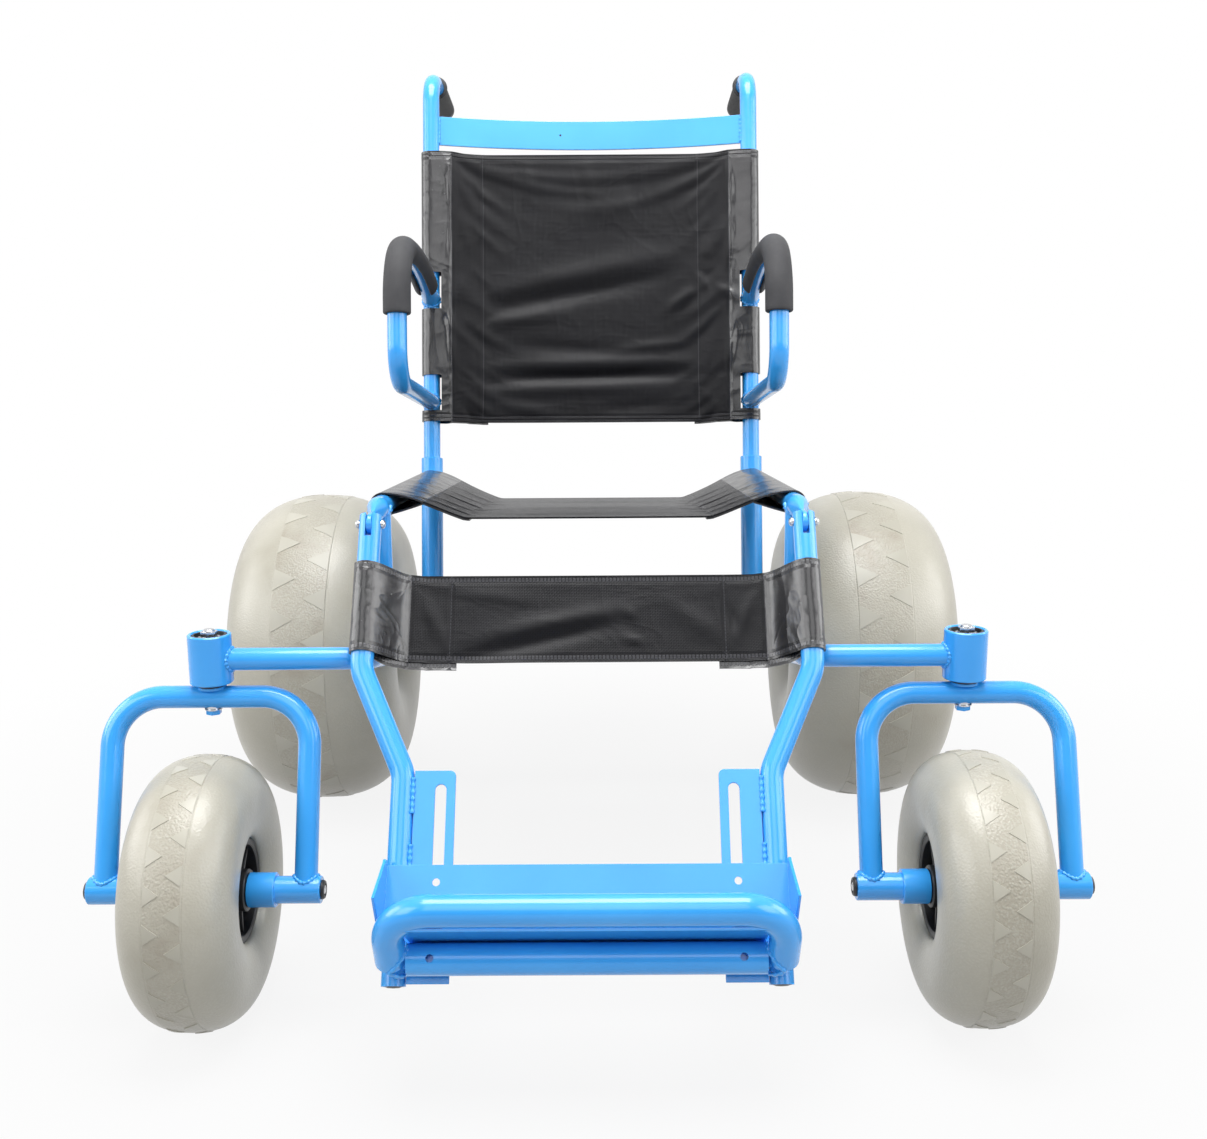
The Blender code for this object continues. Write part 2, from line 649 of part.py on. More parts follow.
def build_seat_rail(side, x):
    """Seat rail: a round tube whose front end narrows to the flat pivot tab."""
    taper_y = POST_Y - TUBE_R
    taper_z = seat_height(taper_y)
    stations = [(SEAT_REAR_Y, SEAT_REAR_Z, TUBE_R, TUBE_R), (taper_y, taper_z, TUBE_R, TUBE_R)]
    for share in TAPER_SHARES:
        stations.append((taper_y + (PIVOT_Y + TAB_FLAT - taper_y) * share,
                         taper_z + (LEG_PIVOT_Z - taper_z) * share ** TAPER_POWER,
                         TUBE_R + (TAB_HALF_T - TUBE_R) * math.sin(share * math.pi / 2),
                         TUBE_R + (TAB_TIP_R - TUBE_R) * share))
    for degrees in TAB_TIP_DEGREES:
        angle = math.radians(degrees)
        stations.append((PIVOT_Y - TAB_TIP_R * math.sin(angle), LEG_PIVOT_Z, TAB_HALF_T,
                         TAB_TIP_R * math.cos(angle)))
    sides = 16
    shape = bmesh.new()
    rings = []
    for y, z, half_x, half_z in stations:
        squareness = TAB_SQUARENESS * (TUBE_R - half_x) / (TUBE_R - TAB_HALF_T)
        ring = []
        for index in range(sides):
            angle = 2 * math.pi * (index + 0.5) / sides
            across, up = math.cos(angle), math.sin(angle)
            ring.append(shape.verts.new((x + half_x * math.copysign(abs(across) ** (1 - squareness), across), y,
                                         z + half_z * math.copysign(abs(up) ** (1 - squareness), up))))
        rings.append(ring)
    for near, far in zip(rings, rings[1:]):
        for index in range(sides):
            other = (index + 1) % sides
            shape.faces.new((near[index], near[other], far[other], far[index]))
    shape.faces.new(rings[0])
    shape.faces.new(rings[-1])
    bmesh.ops.recalc_face_normals(shape, faces=shape.faces)
    mesh = bpy.data.meshes.new("rail")
    shape.to_mesh(mesh)
    shape.free()
    rail = add(f"seat_rail_{side}", mesh, None, PAINT)
    cut(rail, hole_mesh("socket", (x, *back_point(-2 * SOCKET_R)), (x, *back_point(SOCKET_TOP + CUT_PAST)),
                       SOCKET_R + GAP))
    cut(rail, hole_mesh("pivot", (x - 2 * TUBE_R, PIVOT_Y, LEG_PIVOT_Z), (x + 2 * TUBE_R, PIVOT_Y, LEG_PIVOT_Z),
                       PIVOT_BOLT_R + GAP, 12))


def build_seat():
    """Cross tube between the front posts, and the seat sling laid along the seat rails."""
    cross = add("front_cross_tube",
                bar_mesh("cross", (-SIDE_X, POST_Y, CROSS_TUBE_Z), (SIDE_X, POST_Y, CROSS_TUBE_Z), TUBE_R),
                None, PAINT)
    for _side, sign in SIDES:
        x = sign * SIDE_X
        cut(cross, hole_mesh("post", (x, POST_Y, CROSS_TUBE_Z - 2 * TUBE_R), (x, POST_Y, CROSS_TUBE_Z + 2 * TUBE_R),
                            TUBE_R + GAP))
    run, rise = SEAT_REAR_Y - POST_Y, SEAT_FRONT_Z - SEAT_REAR_Z
    frame = empty("seat_line", (0.0, SEAT_REAR_Y, SEAT_REAR_Z), tilt=-math.pi / 2 - math.atan2(rise, run))
    sling("seat_sling", frame, SEAT_SLING_FRONT - math.hypot(run, rise), -SEAT_SLING_REAR, SEAT_SLING_SAG,
          SEAT_SLING_SHOULDER)


def build_backrest():
    """Canes with handles, grips, crossbar, armrests, pads and the back sling."""
    frame = empty("backrest", (0.0, *back_point(0.0)), tilt=-RECLINE)
    reach = Vector((0.0, math.cos(HANDLE_RISE), math.sin(HANDLE_RISE)))
    for side, sign in SIDES:
        x = sign * SIDE_X
        corner = Vector((x, 0.0, CANE_CORNER))
        path = rounded_path([(x, 0.0, CANE_FOOT), corner, corner + reach * HANDLE_REACH], TUBE_BEND)
        add(f"back_cane_{side}", tube_curve("cane", path, TUBE_R), frame, PAINT)
        build_grip(side, frame, corner)
        build_armrest(side, x, frame)

    span = SIDE_X
    radius = (span ** 2 + CROSSBAR_BOW ** 2) / (2 * CROSSBAR_BOW)
    edge = math.asin(span / radius)
    front, back = [], []
    for index in range(11):
        angle = edge * (index / 5 - 1)
        for line, size in ((front, radius - CROSSBAR_T / 2), (back, radius + CROSSBAR_T / 2)):
            line.append((size * math.sin(angle), CROSSBAR_BOW - radius + size * math.cos(angle)))
    bar = add("back_crossbar", plate_mesh("bar", front + back[::-1], CROSSBAR_LOW, CROSSBAR_HIGH), frame, PAINT)
    for _side, sign in SIDES:
        x = sign * SIDE_X
        cut(bar, hole_mesh("cane", (x, 0, CROSSBAR_LOW - CUT_PAST), (x, 0, CROSSBAR_HIGH + CUT_PAST), TUBE_R + GAP))

    sling("back_sling", frame, BACK_SLING_LOW, BACK_SLING_HIGH, BACK_SLING_SAG, BACK_SLING_SHOULDER, NOTCHES)


def build_grip(side, frame, corner):
    """Hand grip that caps a push handle."""
    grip_r = TUBE_R + GRIP_WALL
    flange_r = grip_r + GRIP_FLANGE
    bore = (TUBE_R + GAP) / math.cos(math.pi / GRIP_STEPS)
    root = HANDLE_REACH - GRIP_LENGTH
    profile = [(0.0, HANDLE_REACH + GRIP_END), (grip_r - GRIP_WALL, HANDLE_REACH + GRIP_END),
               (grip_r, HANDLE_REACH + GRIP_END - GRIP_WALL), (grip_r, root + 2 * GRIP_FLANGE_T),
               (flange_r, root + GRIP_FLANGE_T), (flange_r, root), (bore, root), (bore, HANDLE_REACH + GAP),
               (0.0, HANDLE_REACH + GAP)]
    grip = lathe(f"handle_grip_{side}", profile, frame, PLASTIC, GRIP_STEPS, centre=corner)
    grip.rotation_euler = (HANDLE_RISE - math.pi / 2, 0.0, 0.0)


def build_armrest(side, x, frame):
    """Armrest loop of one side and the foam channel over its top and front."""
    corners = [(x, 0.0, ARM_HIGH), (x, -ARM_ARCH_REACH, ARM_ARCH_HIGH), (x, -ARM_FRONT_REACH, ARM_FRONT_HIGH),
               (x, -ARM_LOW_REACH, ARM_LOW_CORNER), (x, 0.0, ARM_LOW)]
    path = rounded_path(corners, [ARM_ARCH_BEND, ARM_FRONT_BEND, TUBE_BEND])
    loop = add(f"armrest_{side}", tube_mesh("loop", path, TUBE_R), frame, PAINT)
    cut(loop, hole_mesh("cane", (x, 0, ARM_LOW - 2 * TUBE_R), (x, 0, ARM_HIGH + 2 * TUBE_R), TUBE_R + GAP))

    bore = TUBE_R + GAP
    held = stretch(path, PAD_START, PAD_LENGTH)
    add(f"arm_pad_{side}", channel_mesh("pad", held, bore, bore + PAD_WALL, PAD_SLIT_HALF), frame, FOAM)


def build_knobs():
    """Hand screws in the back sockets."""
    for side, sign in SIDES:
        frame = empty(f"knob_axis_{side}", (sign * (SIDE_X - SOCKET_R - GAP), *back_point(KNOB_HEIGHT)))
        tip = SOCKET_R + GAP - TUBE_R - RUNNING_GAP
        profile = [(0.0, tip), (KNOB_STEM_R, tip), (KNOB_STEM_R, 0.0), (KNOB_R, 0.0), (KNOB_R, KNOB_CHAMFER - KNOB_T),
                   (KNOB_R - KNOB_CHAMFER, -KNOB_T), (0.0, -KNOB_T)]
        lathe(f"clamp_knob_{side}", mirrored(profile, sign), frame, PLASTIC, 16, True)


def build_caster(side, sign):
    """Fork, stem, axle bolt and wheel of one caster."""
    frame = empty(f"caster_{side}", (sign * CASTER_X, STEM_Y, 0.0))
    down = (-CASTER_TRAIL, FRONT_AXLE_Z)
    corners = [(-FORK_HALF, *down), (-FORK_HALF, 0.0, CROWN_Z), (FORK_HALF, 0.0, CROWN_Z), (FORK_HALF, *down)]
    fork = add(f"caster_fork_{side}", tube_mesh("fork", rounded_path(corners, FORK_BEND), TUBE_R), frame, PAINT)
    for facing in (1.0, -1.0):
        weld(fork, bar_mesh("sleeve", (facing * SLEEVE_INNER, *down), (facing * SLEEVE_OUTER, *down), SLEEVE_R, 14))
        weld(fork, bar_mesh("spacer", (facing * (FRONT_HUB_HALF + RUNNING_GAP), *down),
                            (facing * (SLEEVE_INNER + OVERLAP), *down), SPACER_R, 14))
    bore_half = SLEEVE_OUTER + CUT_PAST
    cut(fork, hole_mesh("bore", (-bore_half, *down), (bore_half, *down), CASTER_BOLT_R + GAP, 12))
    cut(fork, hole_mesh("stem", (0, 0, CROWN_Z - 2 * TUBE_R), (0, 0, CROWN_Z + 2 * TUBE_R), STEM_R + GAP, 12))

    head_top = CROWN_Z - TUBE_R - GAP
    nut_low = HEAD_HIGH_Z + HEAD_FLANGE_T + 2 * GAP
    nut_top = nut_low + STEM_NUT_T
    stem = [(0.0, nut_top + STEM_END), (STEM_R, nut_top + STEM_END), (STEM_R, nut_top), (STEM_NUT_R, nut_top),
            (STEM_NUT_R, nut_low), (STEM_R, nut_low), (STEM_R, head_top), (STEM_HEAD_R, head_top),
            (STEM_HEAD_R, head_top - STEM_HEAD_T), (0.0, head_top - STEM_HEAD_T)]
    lathe(f"caster_stem_{side}", stem, frame, METAL, 12)

    face = SLEEVE_OUTER + GAP
    end = face + CASTER_BOLT_HEAD_T
    bolt = [(0.0, end), (CASTER_BOLT_HEAD_R, end), (CASTER_BOLT_HEAD_R, face), (CASTER_BOLT_R, face),
            (CASTER_BOLT_R, -face), (CASTER_BOLT_HEAD_R, -face), (CASTER_BOLT_HEAD_R, -end), (0.0, -end)]
    lathe(f"caster_axle_{side}", bolt, frame, METAL, 12, True, (0.0, *down))

    wheel = empty(f"front_wheel_{side}", (0.0, *down), parent=frame)
    tyre = tyre_profile(FRONT_WHEEL_R, FRONT_TYRE_HALF_W, FRONT_TYRE_WIDEST_R, FRONT_BEAD_R, FRONT_BEAD_X,
                        FRONT_TYRE_STEPS)
    lathe(f"front_tyre_{side}", tyre, wheel, RUBBER, FRONT_TYRE_STEPS, True, start=math.pi / FRONT_TYRE_STEPS)
    hub = hub_profile(FRONT_BEAD_R - GAP, FRONT_BEAD_X, FRONT_WEB_HALF, FRONT_BOSS_R, FRONT_HUB_HALF,
                      CASTER_BOLT_R + GAP)
    lathe(f"front_hub_{side}", hub, wheel, PLASTIC, 20, True)


def build_leg_rest():
    """Leg tubes with ears, pivot bolts, slotted plates and the calf strap."""
    frame = empty("leg_rest", (0.0, PIVOT_Y, LEG_PIVOT_Z), tilt=-LEG_RAKE)
    for side, sign in SIDES:
        x, low_x = sign * SIDE_X, sign * LEG_LOW_X
        corners = [(x, 0, LEG_TOP), (x, 0, -LEG_BEND_1), (low_x, 0, -LEG_BEND_2), (low_x, 0, -LEG_END)]
        leg = add(f"leg_tube_{side}", tube_mesh("leg", rounded_path(corners, TUBE_BEND), TUBE_R), frame, PAINT)
        slot = TAB_HALF_T + GAP
        cut(leg, box_mesh("slot", (x - slot, -2 * TUBE_R, -EAR_SLOT_DEPTH), (x + slot, 2 * TUBE_R, LEG_TOP + CUT_PAST)))
        cut(leg, hole_mesh("pin", (x - 2 * TUBE_R, 0, 0), (x + 2 * TUBE_R, 0, 0), PIVOT_BOLT_R + GAP, 12))
        face = TUBE_R + GAP
        end = face + PIVOT_HEAD_T
        bolt = [(0.0, end), (PIVOT_HEAD_R, end), (PIVOT_HEAD_R, face), (PIVOT_BOLT_R, face),
                (PIVOT_BOLT_R, -face), (PIVOT_HEAD_R, -face), (PIVOT_HEAD_R, -end), (0.0, -end)]
        lathe(f"leg_pivot_bolt_{side}", bolt, frame, METAL, 12, True, (x, 0.0, 0.0))
        build_slotted_plate(side, sign, frame)
    sling("calf_strap", frame, -STRAP_BOTTOM, -STRAP_TOP, STRAP_SAG, STRAP_SHOULDER)
    build_foot_tray(frame)


def build_slotted_plate(side, sign, frame):
    """Slotted plate beside the lower leg."""
    outer_x = LEG_LOW_X - TUBE_R - GAP
    plate = add(f"slotted_plate_{side}",
                box_mesh("plate", (sign * PLATE_INNER_X, PLATE_Y - PLATE_T / 2, -PLATE_BOTTOM),
                         (sign * outer_x, PLATE_Y + PLATE_T / 2, -PLATE_TOP)), frame, PAINT)
    outline = []
    for centre, start in ((SLOT_HALF_W - SLOT_BOTTOM, math.pi), (-SLOT_TOP - SLOT_HALF_W, 0.0)):
        for index in range(7):
            angle = start + math.pi * index / 6
            outline.append((sign * SLOT_X + SLOT_HALF_W * math.cos(angle), centre + SLOT_HALF_W * math.sin(angle)))
    upright = Matrix.Rotation(math.pi / 2, 4, "X")
    cut(plate, plate_mesh("slot", outline, -PLATE_Y - PLATE_T, -PLATE_Y + PLATE_T, upright))


def build_foot_tray(frame):
    """Foot tray sheet, guard tube, cross tube and slot clamps."""
    back = -TUBE_R - 2 * GAP
    front = back - TRAY_T
    middle = back - TRAY_T / 2
    tray = add("foot_tray", box_mesh("back", (TRAY_T / 3 - TRAY_HALF_W, front, -TRAY_FOLD),
                                     (TRAY_HALF_W - TRAY_T / 3, back, -TRAY_TOP)), frame, PAINT)
    inner = GUARD_X - GUARD_R - GAP
    sole_front = -GUARD_DOWN - GUARD_R - GAP
    sole = [(middle, -TRAY_FOLD + TRAY_T), (middle, -TRAY_FOLD + GAP), (GUARD_Y, sole_front - TRAY_T),
            (GUARD_Y, sole_front)]
    weld(tray, plate_mesh("sole", sole, -inner, inner, STANDING))

    up_slope = Vector((GUARD_Y - FOOT_TUBE_Y, FOOT_TUBE_DOWN - GUARD_DOWN)).normalized()
    rest = Vector((GUARD_Y, -GUARD_DOWN)) + Vector((up_slope.y, -up_slope.x)) * (GUARD_R + GAP)
    low_y = rest.x + (-TRAY_FOLD - rest.y) * up_slope.x / up_slope.y
    cheek = [(middle, -TRAY_TOP + CHEEK_RISE), (back - CHEEK_TOP_DEPTH, -TRAY_TOP + CHEEK_RISE), tuple(rest),
             (low_y, -TRAY_FOLD), (middle, -TRAY_FOLD)]
    corners = [(GUARD_X, FOOT_TUBE_Y, -FOOT_TUBE_DOWN), (GUARD_X, GUARD_Y, -GUARD_DOWN),
               (-GUARD_X, GUARD_Y, -GUARD_DOWN), (-GUARD_X, FOOT_TUBE_Y, -FOOT_TUBE_DOWN)]
    guard_path = rounded_path(corners, TUBE_BEND)
    foot = (FOOT_TUBE_Y, -FOOT_TUBE_DOWN)
    cross = add("foot_cross_tube", bar_mesh("cross", (-inner, *foot), (inner, *foot), GUARD_R), frame, PAINT)
    for side, sign in SIDES:
        ends = sorted((sign * TRAY_HALF_W, sign * (TRAY_HALF_W - TRAY_T)))
        weld(tray, plate_mesh("cheek", cheek, *ends, STANDING))
        x = sign * SLOT_X
        cut(tray, hole_mesh("hole", (x, back + CUT_PAST, -TRAY_HOLE_DOWN), (x, front - CUT_PAST, -TRAY_HOLE_DOWN),
                           TRAY_HOLE_R, 12))
        for down in CLAMP_DOWN:
            cut(tray, hole_mesh("bolt", (x, back + CUT_PAST, -down), (x, front - CUT_PAST, -down),
                               CLAMP_BOLT_R + GAP, 12))
        cut(cross, hole_mesh("hole", (x, foot[0] + 2 * GUARD_R, foot[1]), (x, foot[0] - 2 * GUARD_R, foot[1]),
                            TRAY_HOLE_R, 12))
        build_clamp(side, x, frame, front, back)
    cut(tray, tube_mesh("guard", guard_path, GUARD_R + GAP))
    add("foot_guard_tube", tube_curve("guard", guard_path, GUARD_R), frame, PAINT)


def build_clamp(side, x, frame, front, back):
    """Strip behind the slotted plate, with two studs through the slot that hold the tray."""
    plate_front = PLATE_Y - PLATE_T / 2
    strip_front = PLATE_Y + PLATE_T / 2 + GAP
    strip_back = strip_front + CLAMP_STRIP_T
    clamp = add(f"tray_clamp_{side}",
                box_mesh("strip", (x - CLAMP_STRIP_HALF_W, strip_front, -CLAMP_DOWN[-1] - CLAMP_MARGIN),
                         (x + CLAMP_STRIP_HALF_W, strip_back, -CLAMP_DOWN[0] + CLAMP_MARGIN)), frame, METAL)
    head = front - GAP
    for down in CLAMP_DOWN:
        weld(clamp, bar_mesh("stud", (x, strip_back - GAP, -down), (x, head - CLAMP_HEAD_T / 2, -down), CLAMP_BOLT_R, 10))
        weld(clamp, bar_mesh("head", (x, head, -down), (x, head - CLAMP_HEAD_T, -down), CLAMP_HEAD_R, 12))
        weld(clamp, bar_mesh("spacer", (x, back + GAP, -down), (x, plate_front - GAP, -down), CLAMP_SPACER_R, 10))


def main():
    """Build the chair."""
    for side, sign in SIDES:
        build_side_frame(side, sign)
        build_caster(side, sign)
    build_seat()
    build_rear_axle()
    build_backrest()
    build_knobs()
    build_leg_rest()


main()
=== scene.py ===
"""Finished look of the beach wheelchair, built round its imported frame.

Metres, +Z up, the chair faces -Y and the sitter's left is +X, as in the CAD.
"""

import json
import logging
import math
from dataclasses import dataclass, field
from enum import Enum
from typing import Any, Callable, Sequence

import bpy
from mathutils import Matrix, Vector

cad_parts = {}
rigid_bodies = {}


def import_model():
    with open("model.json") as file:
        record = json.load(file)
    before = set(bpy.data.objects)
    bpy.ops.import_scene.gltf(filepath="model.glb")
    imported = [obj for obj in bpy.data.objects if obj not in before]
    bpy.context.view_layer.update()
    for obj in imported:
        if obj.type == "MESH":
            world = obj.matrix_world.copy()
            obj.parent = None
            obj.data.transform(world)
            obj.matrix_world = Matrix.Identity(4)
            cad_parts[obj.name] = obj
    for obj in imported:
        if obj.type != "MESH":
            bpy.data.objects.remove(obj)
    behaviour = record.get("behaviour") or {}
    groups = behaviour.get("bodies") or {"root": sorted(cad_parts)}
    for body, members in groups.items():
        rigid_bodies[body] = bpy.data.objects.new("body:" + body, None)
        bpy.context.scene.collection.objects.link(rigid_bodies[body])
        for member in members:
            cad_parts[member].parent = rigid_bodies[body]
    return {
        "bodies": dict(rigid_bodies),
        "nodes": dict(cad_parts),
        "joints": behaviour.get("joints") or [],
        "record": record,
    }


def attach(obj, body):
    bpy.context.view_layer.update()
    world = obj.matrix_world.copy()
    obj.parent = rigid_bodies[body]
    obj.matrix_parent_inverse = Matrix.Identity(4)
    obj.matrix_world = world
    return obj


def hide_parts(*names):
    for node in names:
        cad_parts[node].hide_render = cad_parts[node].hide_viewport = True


LOG = logging.getLogger("beach_wheelchair")
Object = bpy.types.Object
Material = bpy.types.Material
Node = bpy.types.Node
Socket = bpy.types.NodeSocket
Colour = tuple[float, float, float, float]
Spot = Sequence[float]
Pair = tuple[float, float]
UP = Vector((0.0, 0.0, 1.0))
ALONG_X = Matrix.Rotation(math.pi / 2, 4, "Y")
STANDING = Matrix(((0, 0, 1, 0), (1, 0, 0, 0), (0, 1, 0, 0), (0, 0, 0, 1)))
MERGE = 0.00001
BOTH_WAYS = (1.0, -1.0)
SOCKET_KINDS = {"Vector": "NodeSocketVector", "Colour": "NodeSocketColor", "Second Colour": "NodeSocketColor"}


class Side(Enum):
    """The sitter's left and right, with the sign of x."""

    LEFT = 1.0
    RIGHT = -1.0

    @property
    def word(self) -> str:
        """The side's word in the pieces' names."""
        return self.name.lower()


class Slot(Enum):
    """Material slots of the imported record."""

    PAINT = "blue_paint"
    CLOTH = "sling_fabric"
    FOAM = "foam"
    GRIP = "grip_plastic"
    PLASTIC = "black_plastic"
    STEEL = "zinc_steel"
    TYRE = "tyre"


# Node trees


class Tree:
    """Short calls that fill a node tree."""

    def __init__(self, tree: bpy.types.NodeTree) -> None:
        """Hold the node tree that is filled."""
        self.tree = tree

    def fill(self, node: Node, inputs: dict[Any, Any]) -> Node:
        """Give a node its inputs.

        Args:
            node: the node.
            inputs: a plain value or an output socket for each input, by name or index.

        Returns:
            The node.
        """
        for key, value in inputs.items():
            if isinstance(value, Socket):
                self.tree.links.new(value, node.inputs[key])
            else:
                node.inputs[key].default_value = value
        return node

    def node(self, kind: str, inputs: dict[Any, Any] | None = None, **settings: Any) -> Node:
        """Add a shader node.

        Args:
            kind: its type, without ShaderNode.
            inputs: what fill takes.
            settings: the node's own settings.

        Returns:
            The new node.
        """
        made = self.tree.nodes.new(f"ShaderNode{kind}")
        for key, value in settings.items():
            setattr(made, key, value)
        return self.fill(made, inputs or {})

    def group(self, name: str, inputs: dict[str, Any]) -> Any:
        """Place a shared group with its own values, and return its outputs."""
        return self.node("Group", inputs, node_tree=bpy.data.node_groups[name]).outputs

    def mark(self, name: str) -> Socket:
        """Read a value that the mesh stores."""
        return self.node("Attribute", attribute_name=name).outputs["Fac"]

    def maths(self, operation: str, *values: Any, clamp: bool = False) -> Socket:
        """Add a Math node, clamped from 0 to 1 if asked."""
        return self.node("Math", dict(enumerate(values)), operation=operation, use_clamp=clamp).outputs[0]

    def times(self, *values: Any) -> Socket:
        """Multiply two values."""
        return self.maths("MULTIPLY", *values)

    def spread(self, value: Any, low: float, high: float, to_low: float = 0.0, to_high: float = 1.0) -> Socket:
        """Map a value from the range low to high to another range, and clamp it."""
        inputs = {"Value": value, "From Min": low, "From Max": high, "To Min": to_low, "To Max": to_high}
        return self.node("MapRange", inputs).outputs["Result"]

    def tint(self, share: Any, first: Any, second: Any) -> Socket:
        """Mix two colours, where a share of 0 gives the first."""
        return self.node("Mix", {0: share, 6: first, 7: second}, data_type="RGBA").outputs[2]

    def noise(self, vector: Any, scale: Any, detail: float = 3.0, roughness: float = 0.5) -> Socket:
        """Add a noise texture on the coordinates given."""
        inputs = {"Vector": vector, "Scale": scale, "Detail": detail, "Roughness": roughness}
        return self.node("TexNoise", inputs).outputs["Fac"]

    def bump(self, height: Any, distance: float, normal: Socket | None = None, strength: float = 1.0) -> Socket:
        """Add a Bump node.

        Args:
            height: height from 0 to 1.
            distance: metres that a height of 1 stands for.
            normal: another bump's output to build on.
            strength: how much of it shows.

        Returns:
            The bent normal.
        """
        inputs = {"Strength": strength, "Distance": distance, "Height": height}
        if normal is not None:
            inputs["Normal"] = normal
        return self.node("Bump", inputs).outputs["Normal"]


class SharedGroups:
    """Node groups that several finishes use, each built once."""

    def __init__(self) -> None:
        """Build the groups."""
        for build in (self.variation, self.weave, self.stitches, self.pebble, self.crinkle):
            build()

    @staticmethod
    def start(name: str, inputs: Sequence[str], outputs: Sequence[str]) -> tuple[Tree, Any, Node]:
        """Make an empty group.

        Args:
            name: the group's name.
            inputs: names of its inputs.
            outputs: names of its outputs.

        Returns:
            The tree, its input sockets and its output node.
        """
        group = bpy.data.node_groups.new(name, "ShaderNodeTree")
        for labels, way in ((inputs, "INPUT"), (outputs, "OUTPUT")):
            for label in labels:
                kind = SOCKET_KINDS.get(label, "NodeSocketFloat")
                group.interface.new_socket(name=label, in_out=way, socket_type=kind)
        return Tree(group), group.nodes.new("NodeGroupInput").outputs, group.nodes.new("NodeGroupOutput")

    def variation(self) -> None:
        """Slow drift between two colours with fine changes of roughness."""
        tree, given, sink = self.start(
            "surface_variation", ("Vector", "Colour", "Second Colour", "Scale", "Roughness", "Roughness Spread"),
            ("Colour", "Roughness", "Fine"))
        broad = tree.spread(tree.noise(given["Vector"], given["Scale"], 4.0), 0.32, 0.68)
        fine = tree.noise(given["Vector"], tree.times(given["Scale"], 9.0), 3.0)
        centred = tree.maths("SUBTRACT", fine, 0.5)
        rough = tree.maths("MULTIPLY_ADD", centred, given["Roughness Spread"], given["Roughness"], clamp=True)
        colour = tree.tint(broad, given["Colour"], given["Second Colour"])
        tree.fill(sink, {"Colour": colour, "Roughness": rough, "Fine": fine})

    def weave(self) -> None:
        """Plain weave on flat coordinates in metres."""
        tree, given, sink = self.start("plain_weave", ("Vector", "Threads"), ("Height",))
        split = tree.node("SeparateXYZ", {0: given["Vector"]}).outputs
        turn = tree.times(given["Threads"], math.pi)
        across, along = (tree.maths("SINE", tree.times(split[axis], turn)) for axis in "XY")
        over = tree.maths("GREATER_THAN", tree.times(across, along), 0.0)
        warp = tree.times(tree.maths("ABSOLUTE", across), over)
        weft = tree.times(tree.maths("ABSOLUTE", along), tree.maths("SUBTRACT", 1.0, over))
        tree.fill(sink, {"Height": tree.maths("ADD", warp, weft)})

    def stitches(self) -> None:
        """A row of stitches along a seam."""
        tree, given, sink = self.start("stitch_row", ("Across", "Along", "Pitch"), ("Mask", "Pucker"))
        away = tree.maths("ABSOLUTE", given["Across"])
        dash = tree.maths("FRACT", tree.maths("DIVIDE", given["Along"], given["Pitch"]))
        mask = tree.times(tree.spread(away, 0.0003, 0.0008, 1.0, 0.0), tree.maths("LESS_THAN", dash, 0.68))
        tree.fill(sink, {"Mask": mask, "Pucker": tree.spread(away, 0.0, 0.0045)})

    def pebble(self) -> None:
        """Pebbled moulded surface."""
        tree, given, sink = self.start("pebble_grain", ("Vector", "Scale"), ("Height",))
        cells = tree.node("TexVoronoi", {"Vector": given["Vector"], "Scale": given["Scale"]}, feature="SMOOTH_F1")
        soft = tree.noise(given["Vector"], given["Scale"], 2.0)
        tree.fill(sink, {"Height": tree.maths("SUBTRACT", soft, cells.outputs["Distance"])})

    def crinkle(self) -> None:
        """Sharp little folds of coated cloth, on flat coordinates in metres."""
        tree, given, sink = self.start("cloth_crinkle", ("Vector", "Scale"), ("Height",))
        ridges: Any = None
        for stretch, turn, weight in (((1.0, 0.42, 1.0), 0.35, 0.55), ((0.8, 1.7, 1.0), -0.6, 0.30),
                                      ((2.6, 2.2, 1.0), 0.9, 0.15)):
            laid = tree.node("Mapping", {"Vector": given["Vector"], "Rotation": (0.0, 0.0, turn),
                                         "Scale": stretch}, vector_type="POINT")
            clouds = tree.node("TexNoise", {"Vector": laid.outputs[0], "Scale": given["Scale"], "Detail": 2.0,
                                            "Roughness": 0.45, "Distortion": 0.9})
            centred = tree.maths("ABSOLUTE", tree.maths("MULTIPLY_ADD", clouds.outputs["Fac"], 4.0, -2.0))
            ridge = tree.maths("POWER", tree.maths("SUBTRACT", 1.0, centred, clamp=True), 1.6)
            part = tree.times(ridge, weight)
            ridges = part if ridges is None else tree.maths("ADD", ridges, part)
        tree.fill(sink, {"Height": ridges})


@dataclass(frozen=True)
class Finish:
    """A material: its colours, its gloss and the grain that all finishes share.

    Attributes:
        name: the material's name.
        colour: main colour.
        second: colour that it drifts to.
        roughness: mean roughness.
        spread: how far roughness strays.
        scale: scale of the drift.
        metallic: metallic value.
        coat: clear coat's weight.
        grain: height of the fine grain in metres.
        specular: specular level.
    """

    name: str
    colour: Colour
    second: Colour
    roughness: float
    spread: float
    scale: float
    metallic: float = 0.0
    coat: float = 0.0
    grain: float = 0.00004
    specular: float = 0.5

    def build(self) -> Material:
        """Make the material.

        Returns:
            The material.
        """
        made = bpy.data.materials.new(self.name)
        made.use_nodes = True
        tree = Tree(made.node_tree)
        where = tree.node("TexCoord").outputs["Object"]
        varied = tree.group("surface_variation", {
            "Vector": where, "Colour": self.colour, "Second Colour": self.second, "Scale": self.scale,
            "Roughness": self.roughness, "Roughness Spread": self.spread})
        tree.fill(made.node_tree.nodes["Principled BSDF"], {
            "Metallic": self.metallic, "Coat Weight": self.coat, "Coat Roughness": 0.08,
            "Specular IOR Level": self.specular, "Base Color": varied["Colour"],
            "Roughness": varied["Roughness"], **self.surface(tree, where, varied)})
        return made

    def surface(self, tree: Tree, where: Socket, varied: Any) -> dict[str, Socket]:
        """Shader inputs that vary in this finish's own way, from Object coordinates and the drift's outputs."""
        return {"Normal": tree.bump(varied["Fine"], self.grain)}


